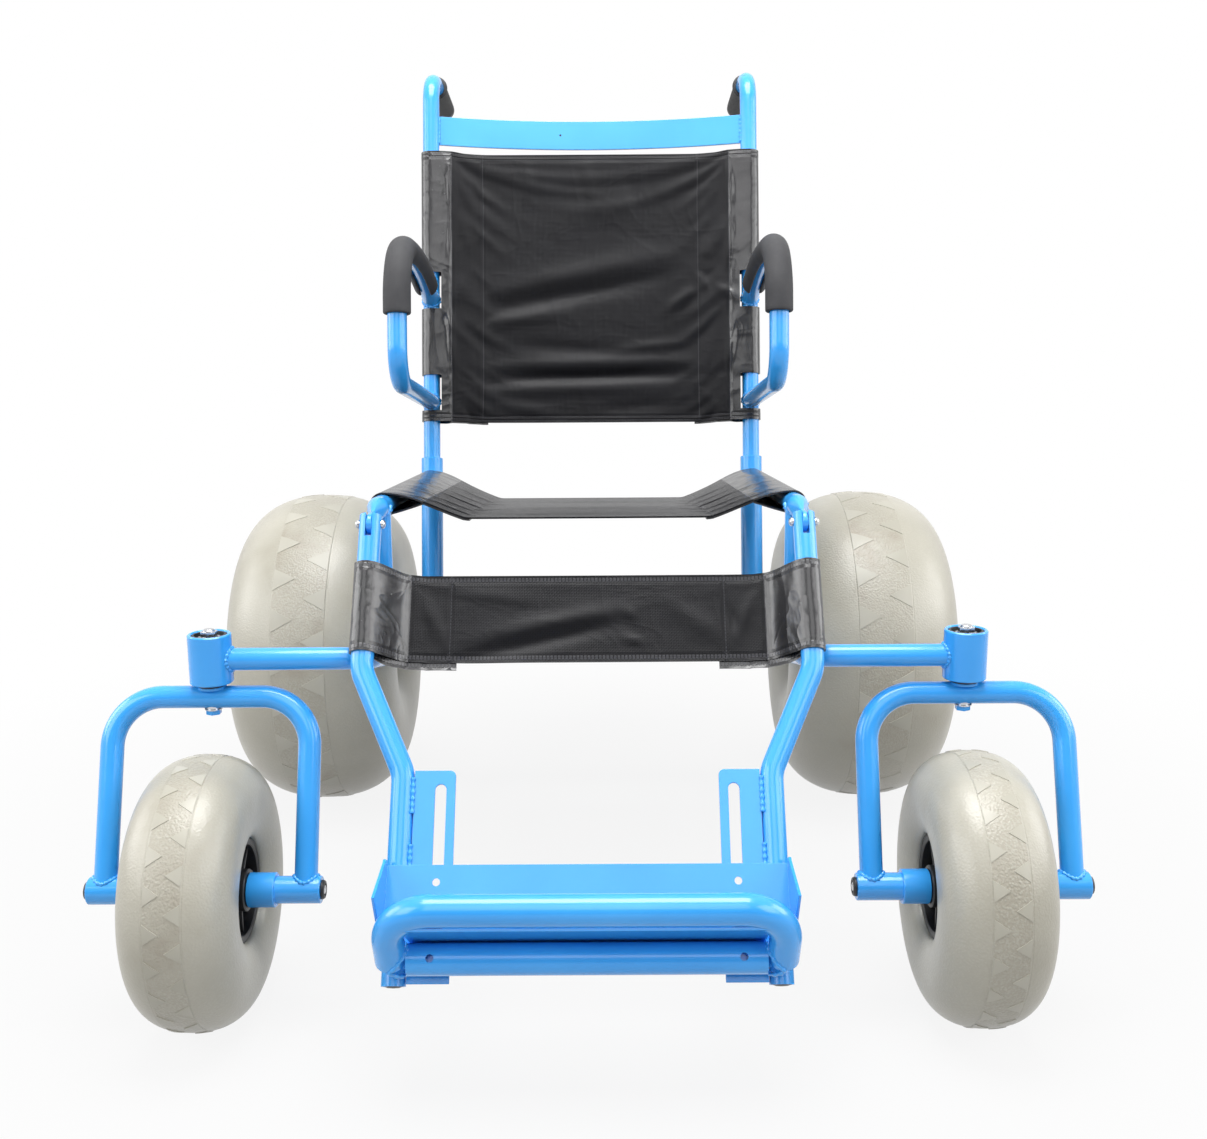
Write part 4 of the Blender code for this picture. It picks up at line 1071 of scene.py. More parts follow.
@dataclass
class MainFrame(Assembly):
    """Side rails, posts, sockets, seat rails, head tubes and axle of the part that stands on the wheels.

    Attributes are metres.
    """

    arm_bend: float = 0.032
    head_r: float = 0.024
    head_wall: float = 0.0042
    head_low: float = 0.3665
    bush_bore: float = 0.0083
    cross_z: float = 0.425
    socket_top: float = 0.0552
    socket_floor: float = -0.107
    axle_half: float = 0.285
    tab_half: float = 0.0035
    tab_tip: float = 0.0125
    tab_flat: float = 0.017
    tab_hole: float = 0.0043
    shaft_r: float = 0.0125
    shoulder_r: float = 0.020
    hub_in: float = 0.3294
    collar_in: float = 0.5290
    collar_w: float = 0.014
    collar_r: float = 0.022
    shaft_out: float = 0.5490

    def build(self) -> None:
        """Build the whole frame."""
        self.both(self.side_rail, self.head_tube, self.uprights, self.seat_rail, self.axle_end)
        self.cross_tubes()
        self.close()

    def side_rail(self) -> None:
        """Bend one side rail with its caster arm."""
        sign = self.side.value
        head_x = sign * (STOCK.caster_x - self.head_r + self.head_wall)
        corners = [(head_x, STOCK.stem_y, STOCK.arm_z), (self.x, STOCK.stem_y, STOCK.arm_z),
                   (self.x, STOCK.axle_y, STOCK.axle_z)]
        self.done(Bench.sweep(rounded(corners, self.arm_bend, 5.0), STOCK.tube), "side_rail_*", "tube")
        self.saddle((sign * STOCK.caster_x, STOCK.stem_y, STOCK.arm_z), (-sign, 0, 0), STOCK.tube, UP, self.head_r)
        self.saddle(corners[2], Vector(corners[1]) - Vector(corners[2]), STOCK.tube, (1, 0, 0), STOCK.axle_tube)

    def head_tube(self) -> None:
        """Turn a head tube with its bush."""
        place = at(self.side.value * STOCK.caster_x, STOCK.stem_y, 0.0)
        outer, inner = self.head_r, self.head_r - self.head_wall
        tube = Bench.pipe(outer, inner, self.head_low, STOCK.head_high, 0.0012, place)
        self.done(tube, "head_tube_*", "tube")
        bore, body, flange = self.bush_bore, inner - STOCK.gap, outer - 0.002
        top, bottom = STOCK.head_high + STOCK.gap, self.head_low - STOCK.gap
        bush = [(bore, bottom - 0.003), (flange - 0.006, bottom - 0.003), (flange - 0.005, bottom - 0.002),
                (flange - 0.005, bottom), (body, bottom + 0.0006), (body, top - 0.0020),
                (body - 0.0008, top - 0.0012), (body - 0.0030, top - 0.0012), (body - 0.0036, top - 0.0050),
                (bore + 0.003, top - 0.0050), (bore, top - 0.0054)]
        self.done(Bench.turn(bush, matrix=place), "head_bush_*", "sleeve", Slot.PLASTIC)

    def uprights(self) -> None:
        """Make the front post and the back socket of one side."""
        x = self.x
        low = (x, STOCK.post_y, STOCK.side_z(STOCK.post_y))
        high = (x, STOCK.post_y, STOCK.seat_z(STOCK.post_y))
        self.done(Bench.rod(low, high, STOCK.tube, 40), "front_post_*", "tube")
        rail_way = Vector((0.0, STOCK.axle_y - STOCK.stem_y, STOCK.axle_z - STOCK.arm_z))
        seat_way = Vector((0.0, STOCK.post_y - STOCK.seat_rear_y, STOCK.seat_front_z - STOCK.seat_rear_z))
        self.saddle(low, UP, STOCK.tube, rail_way, STOCK.tube)
        self.saddle(high, -UP, STOCK.tube, seat_way, STOCK.tube)

        start = STOCK.back_point(0.0)
        lean = math.cos(STOCK.recline) - STOCK.rail_slope * math.sin(STOCK.recline)
        foot = (STOCK.side_z(start.y) - start.z) / lean
        outer, inner, top, floor = STOCK.socket, STOCK.tube + 0.0007, self.socket_top, self.socket_floor
        profile = [(outer, foot), (outer, top - 0.0009), (outer - 0.0009, top), (inner + 0.0006, top),
                   (inner, top - 0.0012), (inner, floor), (0.004, floor), (0.004, foot)]
        self.done(Bench.turn(profile, 48, STOCK.back @ at(x, 0.0, 0.0)), "back_socket_*", "tube")
        up = STOCK.back_point(1.0) - start
        self.saddle(Vector((x, 0.0, 0.0)) + STOCK.back_point(foot), up, STOCK.socket, rail_way, STOCK.tube)
        self.saddle((x, STOCK.seat_rear_y, STOCK.seat_rear_z), seat_way, STOCK.tube, up, STOCK.socket)

    def seat_rail(self) -> None:
        """Loft a seat rail whose front end is pressed flat for the pivot."""
        x, tube, y, z = self.x, STOCK.tube, STOCK.pivot_y, STOCK.pivot_z
        taper_y = STOCK.post_y - tube
        taper_z = STOCK.seat_z(taper_y)
        spots = [(STOCK.seat_rear_y, STOCK.seat_rear_z, tube, tube), (taper_y, taper_z, tube, tube)]
        for index in range(1, 15):
            share = index / 14
            press = 0.35 * math.sin(share * math.pi / 2) + 0.65 * smooth(share)
            spots.append((taper_y + (y + self.tab_flat - taper_y) * share, taper_z + (z - taper_z) * share ** 1.6,
                          tube + (self.tab_half - tube) * press, tube + (self.tab_tip - tube) * share))
        for degrees in range(0, 85, 7):
            angle = math.radians(degrees)
            spots.append((y - self.tab_tip * math.sin(angle), z, self.tab_half, self.tab_tip * math.cos(angle)))
        sides = 40
        rings = []
        for ring_y, ring_z, half_x, half_z in spots:
            power = 1 - 0.55 * (tube - half_x) / (tube - self.tab_half)
            ring = []
            for index in range(sides):
                angle = 2 * math.pi * (index + 0.5) / sides
                across, up = (math.copysign(abs(way) ** power, way) for way in (math.cos(angle), math.sin(angle)))
                ring.append((x + half_x * across, ring_y, ring_z + half_z * up))
            rings.append(ring)
        rail = Bench.loft(rings, [range(sides), range(sides * (len(rings) - 1), sides * len(rings))])
        Bench.cut(rail, Bench.rod((x - 0.02, y, z), (x + 0.02, y, z), self.tab_hole, 24))
        self.done(rail, "seat_rail_*", "tube", angle=40.0)

    def axle_end(self) -> None:
        """Turn the axle shaft and its collar of one side."""
        y, z = STOCK.axle_y, STOCK.axle_z
        place = at(0.0, y, z) @ ALONG_X @ twist(0.0 if self.side is Side.LEFT else math.pi, "Y")
        start, step, end = self.axle_half - 0.02, self.axle_half + STOCK.gap, self.shaft_out
        radius, shoulder, stop = self.shaft_r, self.shoulder_r, self.hub_in - STOCK.gap
        shaft = [(0.0, start), (radius, start), (radius, step), (shoulder - 0.001, step), (shoulder, step + 0.001),
                 (shoulder, stop - 0.001), (shoulder - 0.001, stop), (radius, stop), (radius, end - 0.0012),
                 (radius - 0.0012, end), (0.004, end), (0.003, end - 0.001), (0.0, end - 0.0015)]
        self.done(Bench.turn(shaft, 48, place), "rear_axle_shaft_*", "bar", Slot.STEEL)
        low, high, outer = self.collar_in, self.collar_in + self.collar_w, self.collar_r
        ring = [(radius + STOCK.gap, low), (outer - 0.001, low), (outer, low + 0.001), (outer, high - 0.001),
                (outer - 0.001, high), (radius + 0.001, high), (radius + STOCK.gap, high - 0.0007)]
        middle, top = self.side.value * (low + high) / 2, z + outer

        def drill(below: float, above: float, size: float, sides: int = 24, edge: float = 0.0) -> Object:
            """Bar up through the collar's crown, between two heights from its skin."""
            return Bench.rod((middle, y, top + below), (middle, y, top + above), size, sides, edge)

        collar = Bench.cut(Bench.turn(ring, 48, place), drill(-0.004, 0.006, 0.0034))
        key = Bench.cut(drill(-0.0035, -0.0012, 0.0031, edge=0.0004), drill(-0.0025, 0.002, 0.0016, 6))
        self.done(Bench.join([collar, key]), "axle_collar_*", "ring", Slot.STEEL)

    def cross_tubes(self) -> None:
        """Make the front cross tube and the rear axle tube."""
        x, half = STOCK.side_x, self.axle_half
        y, z, post_y = STOCK.axle_y, STOCK.axle_z, STOCK.post_y
        cross = Bench.rod((-x, post_y, self.cross_z), (x, post_y, self.cross_z), STOCK.tube, 40)
        self.done(cross, "front_cross_tube", "bar")
        self.done(Bench.rod((-half, y, z), (half, y, z), STOCK.axle_tube, 48, 0.001), "rear_axle_tube", "bar")
        for sign in BOTH_WAYS:
            self.saddle((sign * x, post_y, self.cross_z), (-sign, 0, 0), STOCK.tube, UP, STOCK.tube)


@dataclass
class Wheel:
    """One balloon wheel: tyre with its tread and hub with its ribs.

    Attributes are metres unless they say otherwise.

    Attributes:
        label: rear or front.
        radius: outer radius over the lugs.
        half: half width of the tyre.
        widest: radius at which it is widest.
        bead_r: radius of its seat on the hub.
        bead_x: half width of the seat.
        band: half width of the tread between the parting lines.
        web: half depth of the hub's web.
        boss_r: radius of the hub's boss.
        boss_half: half length of the boss.
        bore: radius of its bore.
        rim: thickness of the hub's rim.
        lugs: lugs along each edge of the tread.
        lug_height: height of a lug.
        fullness: power of the rounded section, where 2 is an ellipse.
        groove: sideways place and rise of each point of a parting line.
    """

    label: str
    radius: float
    half: float
    widest: float
    bead_r: float
    bead_x: float
    band: float
    web: float
    boss_r: float
    boss_half: float
    bore: float
    rim: float = 0.008
    lugs: int = 24
    lug_height: float = 0.0007
    fullness: float = 2.3
    groove: tuple[Pair, ...] = ((-0.0018, 0.0), (-0.0008, 0.0001), (-0.0003, -0.0004), (0.0003, -0.0004),
                                (0.0010, -0.0001), (0.0018, -0.0002))

    def build(self, home: Assembly) -> None:
        """Make the tyre and the hub of an assembly whose axle is along its Z."""
        self.tyre(home)
        self.hub(home)

    def outline(self, angle: float) -> Pair:
        """Radius and sideways place of the outer skin, from the tread's middle at 0 to its side at 90 degrees."""
        power, crown = 2 / self.fullness, self.radius - self.lug_height
        return self.widest + (crown - self.widest) * math.cos(angle) ** power, self.half * math.sin(angle) ** power

    def skin_radius(self, x: float) -> float:
        """Radius of the outer skin at a sideways place on the tread."""
        share = (abs(x) / self.half) ** (self.fullness / 2)
        return self.outline(math.asin(min(1.0, share)))[0]

    def tyre(self, home: Assembly) -> None:
        """Make the tyre with its parting lines and lugs.

        Args:
            home: the assembly.
        """
        profile = [self.outline(math.pi / 2 * index / 40) for index in range(41)]
        profile = [spot for spot in profile if abs(spot[1] - self.band) > 0.004]
        profile += [(self.skin_radius(self.band + shift) + rise, self.band + shift) for shift, rise in self.groove]
        profile.sort(key=lambda spot: spot[1])
        for index in range(1, 15):
            angle = math.pi / 2 * index / 14
            profile.append((self.widest - (self.widest - self.bead_r) * math.sin(angle),
                            self.bead_x + (self.half - self.bead_x) * math.cos(angle)))
        profile.append((self.bead_r, self.bead_x * 0.5))
        skin = Bench.dress(Bench.turn(mirrored(profile), self.lugs * 6), home.palette.tyre)
        inside = []
        for vertex in skin.data.vertices:
            on_tread = math.hypot(vertex.co.x, vertex.co.y) > self.widest
            inside.append(clamp((self.band - abs(vertex.co.z)) / 0.002) if on_tread else 0.0)
        skin.data.attributes.new("band", "FLOAT", "POINT").data.foreach_set("value", inside)
        lugs = Bench.dress(self.lug_ring(), home.palette.lug)
        home.done(Bench.join([skin, lugs]), f"{self.label}_tyre_*", "skin", Slot.TYRE, 50.0)

    def lug_ring(self) -> Object:
        """Make the flat triangles that point inwards from both parting lines.

        Returns:
            All the lugs as one mesh, with the wheel's axle along Z.
        """
        pitch = 2 * math.pi / self.lugs
        size = 5
        around = [(0, step) for step in range(size)] + [(row, size - 1) for row in range(1, size - 1)]
        around += [(size - 1, step) for step in range(size - 1, -1, -1)]
        around += [(row, 0) for row in range(size - 2, 0, -1)]
        points: list[tuple[float, float, float]] = []
        faces: list[list[int]] = []
        for edge, number in ((edge, number) for edge in BOTH_WAYS for number in range(self.lugs)):
            middle = pitch * (number + (0.0 if edge > 0 else 0.5))
            first = len(points)
            for row in range(size):
                share = row / (size - 1)
                x = edge * (self.band - 0.0012 - self.band * 0.80 * share)
                wide = pitch * 0.27 * (1 - share) + 0.0005
                skin = self.skin_radius(x)
                for step in range(size):
                    turn = wide * (step / 2 - 1)
                    flare = 1.0 + 0.0004 / max(wide, 0.0005) / self.radius
                    for radius, angle in ((skin + self.lug_height, middle + turn),
                                          (skin - 0.0006, middle + turn * flare)):
                        points.append((radius * math.cos(angle), radius * math.sin(angle), x))

            def spot(row: int, step: int, skirt: int = 0) -> int:
                """Number of a point on the lug's top, or on its skirt."""
                return first + 2 * (row * size + step) + skirt

            for row in range(size - 1):
                for step in range(size - 1):
                    faces.append([spot(row, step), spot(row, step + 1),
                                  spot(row + 1, step + 1), spot(row + 1, step)])
            for here, there in zip(around, around[1:] + around[:1]):
                faces.append([spot(*here), spot(*there), spot(*there, 1), spot(*here, 1)])
            faces.append([spot(*here, 1) for here in around])
        return Bench.clean(Bench.shell(points, faces))

    def hub(self, home: Assembly) -> None:
        """Make the dished hub with its ribs.

        Args:
            home: the assembly.
        """
        outer, rim, web = self.bead_r - STOCK.gap, self.bead_r - self.rim, self.web
        edge, boss, half, bore = self.bead_x, self.boss_r, self.boss_half, self.bore
        soft = 0.0012
        upper = [(outer, 0.0), (outer, edge - soft), (outer - soft, edge), (rim + soft, edge), (rim, edge - soft),
                 (rim, web + 0.004), (rim - 0.004, web), (boss + 0.004, web), (boss, web + 0.004),
                 (boss, half - soft), (boss - soft, half), (bore + soft, half), (bore, half - soft), (bore, 0.0)]
        parts = [Bench.turn(mirrored(upper))]
        top = min(edge, half) - 0.006
        for face in BOTH_WAYS:
            for number in range(8):
                rib = Bench.block((boss - 0.002, -0.0018, face * (web - 0.001)), (rim + 0.002, 0.0018, face * top),
                                  0.0006)
                rib.data.transform(twist(math.pi * number / 4, "Z"))
                parts.append(rib)
        home.done(Bench.join(parts), f"{self.label}_hub_*", "dish", Slot.PLASTIC)


@dataclass
class RearWheel(Assembly):
    """A fixed rear wheel with its bush.

    Attributes are metres.
    """

    out: float = 0.4274
    bush_r: float = 0.019
    bush_bore: float = 0.0128
    flange_r: float = 0.027
    wheel: Wheel = field(default_factory=lambda: Wheel("rear", 0.245, 0.126, 0.135, 0.060, 0.092, 0.040, 0.062,
                                                       0.030, 0.098, 0.0193))

    def build(self) -> None:
        """Build the wheel."""
        self.frame = at(self.side.value * self.out, STOCK.axle_y, STOCK.axle_z) @ ALONG_X
        self.wheel.build(self)
        low, face = -self.wheel.boss_half, self.wheel.boss_half + STOCK.gap
        bore, flange = self.bush_bore, self.flange_r
        bush = [(bore, low), (self.bush_r, low), (self.bush_r, face), (flange - 0.001, face),
                (flange, face + 0.0008), (flange, face + 0.002), (flange - 0.001, face + 0.003),
                (bore + 0.002, face + 0.003), (bore, face + 0.002)]
        outward = twist(0.0 if self.side is Side.LEFT else math.pi, "Y")
        self.done(Bench.turn(bush, matrix=outward), "rear_bush_*", "sleeve", Slot.STEEL)


@dataclass
class Caster(Assembly):
    """One swivel caster: fork, stem, axle bolt and wheel.

    Attributes are metres.
    """

    half: float = 0.1105
    bend: float = 0.055
    crown: float = 0.3495
    sleeve_r: float = 0.015
    sleeve_in: float = 0.0765
    sleeve_out: float = 0.128
    spacer_r: float = 0.019
    hub_half: float = 0.048
    bolt_r: float = 0.006
    wheel: Wheel = field(default_factory=lambda: Wheel("front", 0.149, 0.0595, 0.095, 0.057, 0.045, 0.020, 0.016,
                                                       0.023, 0.048, 0.0063))

    @property
    def axle(self) -> Matrix:
        """Frame of the wheel in the caster's own frame, with its axle along Z."""
        return at(0.0, -STOCK.trail, STOCK.front_axle_z) @ ALONG_X

    def build(self) -> None:
        """Build the caster."""
        self.frame = at(self.side.value * STOCK.caster_x, STOCK.stem_y, 0.0)
        self.fork()
        self.stem()
        self.bolt()
        self.wheel.build(Assembly(palette=self.palette, body=f"front_wheel_{self.side.word}", side=self.side,
                                  frame=self.frame @ self.axle))

    def fork(self) -> None:
        """Bend the fork and weld its sleeves and spacers on."""
        y, z, crown = -STOCK.trail, STOCK.front_axle_z, self.crown
        corners = [(-self.half, y, z), (-self.half, 0.0, crown), (self.half, 0.0, crown), (self.half, y, z)]
        bow = Bench.sweep(rounded(corners, self.bend), STOCK.tube)
        parts = [Bench.cut(bow, Bench.rod((0, 0, crown - 0.03), (0, 0, crown + 0.03), 0.0083))]
        for facing in BOTH_WAYS:
            sleeve, spacer = ((self.sleeve_in, self.sleeve_out), (self.hub_half + 0.0006, self.sleeve_in + 0.002))
            for ends, radius in ((sleeve, self.sleeve_r), (spacer, self.spacer_r)):
                low, high = sorted(facing * end for end in ends)
                parts.append(Bench.pipe(radius, self.bolt_r + 0.0006, low, high, 0.0008, self.axle, 48))
        self.done(Bench.join(parts), "caster_fork_*", "tube", angle=40.0)
        for facing in BOTH_WAYS:
            self.saddle((facing * self.half, y, z), (0.0, -y, crown - z), STOCK.tube, (1, 0, 0), self.sleeve_r)
            ring = []
            for index in range(56):
                angle = 2 * math.pi * index / 56
                ring.append(self.frame @ Vector((facing * (self.sleeve_in + 0.001),
                                                 y + self.sleeve_r * math.cos(angle),
                                                 z + self.sleeve_r * math.sin(angle))))
            self.bead(ring, True, 0.0014)
        self.close()

    def stem(self) -> None:
        """Make the stem with its hexagonal nut, lower head and spacer."""
        under = self.crown - STOCK.tube - STOCK.gap
        low = STOCK.head_high - 0.0044
        top = low + 0.0076
        profile = [(0.0, top + 0.002), (0.0052, top + 0.002), (0.0066, top + 0.0010), (0.0066, low + 0.0010),
                   (0.0118, low + 0.0010), (0.0122, low + 0.0006), (0.0122, low), (0.0080, low), (0.0080, under),
                   (0.0098, under), (0.0098, under - 0.0012), (0.0, under - 0.0012)]
        nut = Bench.rod((0, 0, low + 0.0011), (0, 0, top), 0.0098, 6, 0.0006)
        Bench.cut(nut, Bench.rod((0, 0, low), (0, 0, top + 0.01), 0.0066))
        head = Bench.rod((0, 0, under - 0.0013), (0, 0, under - 0.0068), 0.0088, 6, 0.0006)
        low, high = self.crown + STOCK.tube * 0.80, STOCK.head_high - 0.0594
        spacer = [(0.0081, low), (0.0150, low), (0.0156, low + 0.0005), (0.0156, high - 0.0005), (0.0150, high),
                  (0.0081, high)]
        steel, paint = self.palette.steel, self.palette.paint
        parts = [Bench.dress(Bench.turn(profile, 40), steel), Bench.dress(nut, steel), Bench.dress(head, paint),
                 Bench.dress(Bench.turn(spacer, 48), paint)]
        self.done(Bench.join(parts), "caster_stem_*", "bolt", Slot.STEEL)

    def bolt(self) -> None:
        """Make the axle bolt with its black end caps."""
        face, radius, end = self.sleeve_out + STOCK.gap, self.bolt_r - 0.0002, 0.0052
        half = [(0.0, face + 0.0042), (end * 0.55, face + 0.0041), (end * 0.90, face + 0.0032),
                (end, face + 0.0022), (end, face - 0.001), (radius, face - 0.002)]
        parts = [Bench.dress(Bench.turn(mirrored(half), 40, self.axle), self.palette.steel)]
        cap = [(end + 0.0002, 0.0), (0.0104, 0.0), (0.0105, 0.0018), (0.0094, 0.0034), (0.0076, 0.0038),
               (0.0064, 0.0026), (end + 0.0002, 0.0024)]
        for facing in BOTH_WAYS:
            ring = Bench.turn([(size, facing * (face + rise)) for size, rise in cap], 40, self.axle)
            parts.append(Bench.dress(ring, self.palette.plastic))
        self.done(Bench.join(parts), "caster_axle_*", "bolt", Slot.STEEL)


# Cloth


@dataclass(frozen=True)
class Crease:
    """A soft ridge in the cloth from one place on the panel to another, or a valley where its height is negative.

    Attributes are metres: x and z of both ends, half width and height.
    """

    x1: float
    z1: float
    x2: float
    z2: float
    width: float
    height: float

    def rise(self, x: float, z: float) -> float:
        """Measure the crease at a place on the panel.

        Args:
            x: the place's x.
            z: the place's z.

        Returns:
            The height there.
        """
        run_x, run_z = self.x2 - self.x1, self.z2 - self.z1
        share = clamp(((x - self.x1) * run_x + (z - self.z1) * run_z) / (run_x ** 2 + run_z ** 2))
        away = math.hypot(x - self.x1 - run_x * share, z - self.z1 - run_z * share)
        return self.height * math.exp(-(away / self.width) ** 2) * (0.3 + 0.7 * math.sin(math.pi * share))


@dataclass
class Sling(Assembly):
    """A cloth panel between two parallel tubes, with a sleeve round each that is sewn down behind it.

    Its frame has +Z along the tubes and -Y where the sitter is.

    Attributes are metres unless they say otherwise.

    Attributes:
        node: the CAD node that it stands for.
        rests_on: what carries it, with * for its side; not used.
        low: its lower edge.
        high: its upper edge.
        sag: how far its middle hangs behind the tubes.
        shoulder: width over which it gets there.
        seams: distances of the outer and the inner seam from its middle.
        hem: width of its hems.
        folds: what each crease takes.
        notches: stretches where a tube is left bare.
        notch_depth: how far a notch reaches in from the tube's centre line.
        lay: distance of the sleeve's middle surface from the tube's centre line.
        wrap: angle in radians that the sleeve goes round the tube.
        pitch: widest gap between points.
        thickness: thickness of the cloth at the hems.
        lap: how far the back layer passes the inner seam.
        edge: distance of the outer stitches from the edge.
        give: longest way that a point may move when the cloth settles.
        slack: spare length of the cloth when it settles, as a share.
        lean: how much more than the mean the upper edge sags, and the lower edge less.
        drop: how far the back layer hangs below the panel.
        steps: simulated frames.
    """

    node: str
    rests_on: str
    low: float
    high: float
    sag: float
    shoulder: float
    seams: Pair
    hem: float
    folds: Sequence[tuple[float, ...]]
    notches: tuple[Pair, ...] = ()
    notch_depth: float = 0.0165
    lay: float = 0.0143
    wrap: float = math.radians(221.0)
    pitch: float = 0.0045
    thickness: float = 0.0020
    lap: float = 0.008
    edge: float = 0.0035
    give: float = 0.008
    slack: float = 0.012
    lean: float = 0.0
    drop: float = 0.0
    steps: int = 24

    def __post_init__(self) -> None:
        """Draw the creases, the rows and the cross-section."""
        self.creases = [Crease(*fold) for fold in self.folds]
        self.stitched = (self.low + self.edge, self.low + self.hem, self.high - self.hem, self.high - self.edge)
        bare = [end for notch in self.notches for end in notch]
        self.rows = marks(self.low, self.high, self.pitch, [*self.stitched, *bare])
        half = self.half_section()
        self.section = [(-x, y, behind) for x, y, behind in reversed(half[1:])] + half
        fars = [0.0]
        for here, there in zip(self.section, self.section[1:]):
            fars.append(fars[-1] + math.dist(here[:2], there[:2]))
        self.width = fars[-1]
        self.fars = [far - fars[len(half) - 1] for far in fars]

    def hang(self, x: float) -> float:
        """Share of the sag at a distance from the middle line."""
        return (1 - math.cos(math.pi * clamp((STOCK.side_x - abs(x)) / self.shoulder))) / 2

    def panel_y(self, x: float) -> float:
        """Place of the panel's middle surface at a distance from its middle line."""
        return -self.lay + self.sag * self.hang(x)

    def relief(self, x: float, z: float) -> float:
        """How far a place on the panel stands behind its even sag, from the creases and from the lean."""
        rise = sum(crease.rise(x, z) for crease in self.creases) * self.free(x)
        return self.lean * self.hang(x) * (2 * (z - self.low) / (self.high - self.low) - 1) - rise

    def free(self, x: float) -> float:
        """How freely the cloth moves at a distance from its middle line, from 0 on the tube to 1."""
        return smooth(clamp((STOCK.side_x - 0.010 - abs(x)) / 0.020))

    def half_section(self) -> list[tuple[float, float, bool]]:
        """Draw half of the cross-section from the middle line round the tube and back under the panel.

        Returns:
            x, y and whether the point is on the sleeve's far side, for each point.
        """
        outer, inner = self.seams
        forced = [seam + shift for seam in self.seams for shift in (-0.002, 0.0, 0.002)]
        forced.append(STOCK.side_x - self.notch_depth)
        line = [(x, self.panel_y(x), False) for x in marks(0.0, STOCK.side_x, self.pitch, forced)]
        for index in range(1, 25):
            angle = self.wrap * index / 24
            line.append((STOCK.side_x + self.lay * math.sin(angle), -self.lay * math.cos(angle), True))
        behind = self.thickness * 1.15
        start = Vector(line[-1][:2])
        sewn = Vector((outer, self.panel_y(outer) + behind))
        bare = (start.x - STOCK.side_x + self.notch_depth) / (start.x - outer)
        line += [(*start.lerp(sewn, share), True) for share in marks(0.0, 1.0, 0.2, [bare])[1:]]
        lap = marks(inner - self.lap, outer, self.pitch, [inner])
        return line + [(x, self.panel_y(x) + behind, True) for x in lap[-2::-1]]

    def build(self) -> None:
        """Make the sling."""
        settled = self.settle()
        rows, count = self.rows, len(self.rows)
        points = []
        for x, y, behind in self.section:
            moves = self.movement(settled, x)
            below = self.drop * clamp((STOCK.side_x - 0.002 - abs(x)) / 0.020) if behind else 0.0
            for z, move in zip(rows, moves):
                points.append(self.frame @ (Vector((x, y + self.relief(x, z), z - below)) + move * self.free(x)))
        bare_x = STOCK.side_x - self.notch_depth
        faces, bands = [], []
        whole, kept = 0.0, 0.0
        for column, (here, there) in enumerate(zip(self.section, self.section[1:])):
            near_x, far_x = sorted((abs(here[0]), abs(there[0])))
            on_band = (here[2] and there[2]) or far_x > self.seams[0] + MERGE
            for row in range(count - 1):
                area = (self.fars[column + 1] - self.fars[column]) * (rows[row + 1] - rows[row])
                middle = (rows[row] + rows[row + 1]) / 2
                whole += area
                if near_x > bare_x - MERGE and any(first < middle < last for first, last in self.notches):
                    continue
                kept += area
                first = column * count + row
                faces.append((first, first + count, first + count + 1, first + 1))
                bands.append(int(on_band))
        used = sorted({index for face in faces for index in face})
        number = {index: place for place, index in enumerate(used)}
        cloth = Bench.shell([points[index] for index in used], [[number[index] for index in face] for face in faces])
        Bench.dress(cloth, self.palette.cloth, self.palette.band)
        cloth.data.polygons.foreach_set("material_index", bands)
        self.mark(cloth, [divmod(index, count) for index in used])
        wall = cloth.modifiers.new("Cloth thickness", "SOLIDIFY")
        wall.thickness = self.thickness
        wall.offset = 0.0
        wall.vertex_group = "thick"
        Bench.apply(cloth)
        self.done(cloth, self.node, "cloth", Slot.CLOTH, 60.0, placed=True)

    def mark(self, cloth: Object, order: Sequence[tuple[int, int]]) -> None:
        """Store flat coordinates, distances from seams and hems, and the thickness share.

        Args:
            cloth: the sheet before it gets its thickness.
            order: column and row of each point.
        """
        mesh = cloth.data
        layer = mesh.uv_layers.new(name="cut")
        for loop in mesh.loops:
            column, row = order[loop.vertex_index]
            layer.data[loop.index].uv = (self.fars[column], self.rows[row])
        thick = cloth.vertex_groups.new(name="thick")
        away: dict[str, list[float]] = {"seam_across": [], "hem_across": []}
        for index, (column, row) in enumerate(order):
            x, z = abs(self.section[column][0]), self.rows[row]
            on_panel = x < STOCK.side_x - 0.01
            away["seam_across"].append(min(abs(x - place) for place in self.seams) if on_panel else 0.05)
            away["hem_across"].append(min(abs(z - place) for place in self.stitched))
            on_hem = min(z - self.low, self.high - z) < self.hem + MERGE
            thick.add([index], 1.0 if on_hem else 0.6 if x < self.seams[1] else 0.85, "REPLACE")
        for label, values in away.items():
            mesh.attributes.new(label, "FLOAT", "POINT").data.foreach_set("value", values)

    def movement(self, settled: dict[float, list[Vector]], x: float) -> list[Vector]:
        """Read how a column of points moved when the cloth settled.

        Args:
            settled: moves of each column of the trial panel, by its x.
            x: the column's place.

        Returns:
            A move for each row.
        """
        if not settled or abs(x) >= STOCK.side_x:
            return [Vector()] * len(self.rows)
        places = sorted(settled)
        after = next(index for index, place in enumerate(places) if place >= x - MERGE)
        before = max(0, after - 1)
        gap = places[after] - places[before]
        share = (x - places[before]) / gap if gap > 0 else 0.0
        return [first.lerp(second, share) for first, second in zip(settled[places[before]], settled[places[after]])]

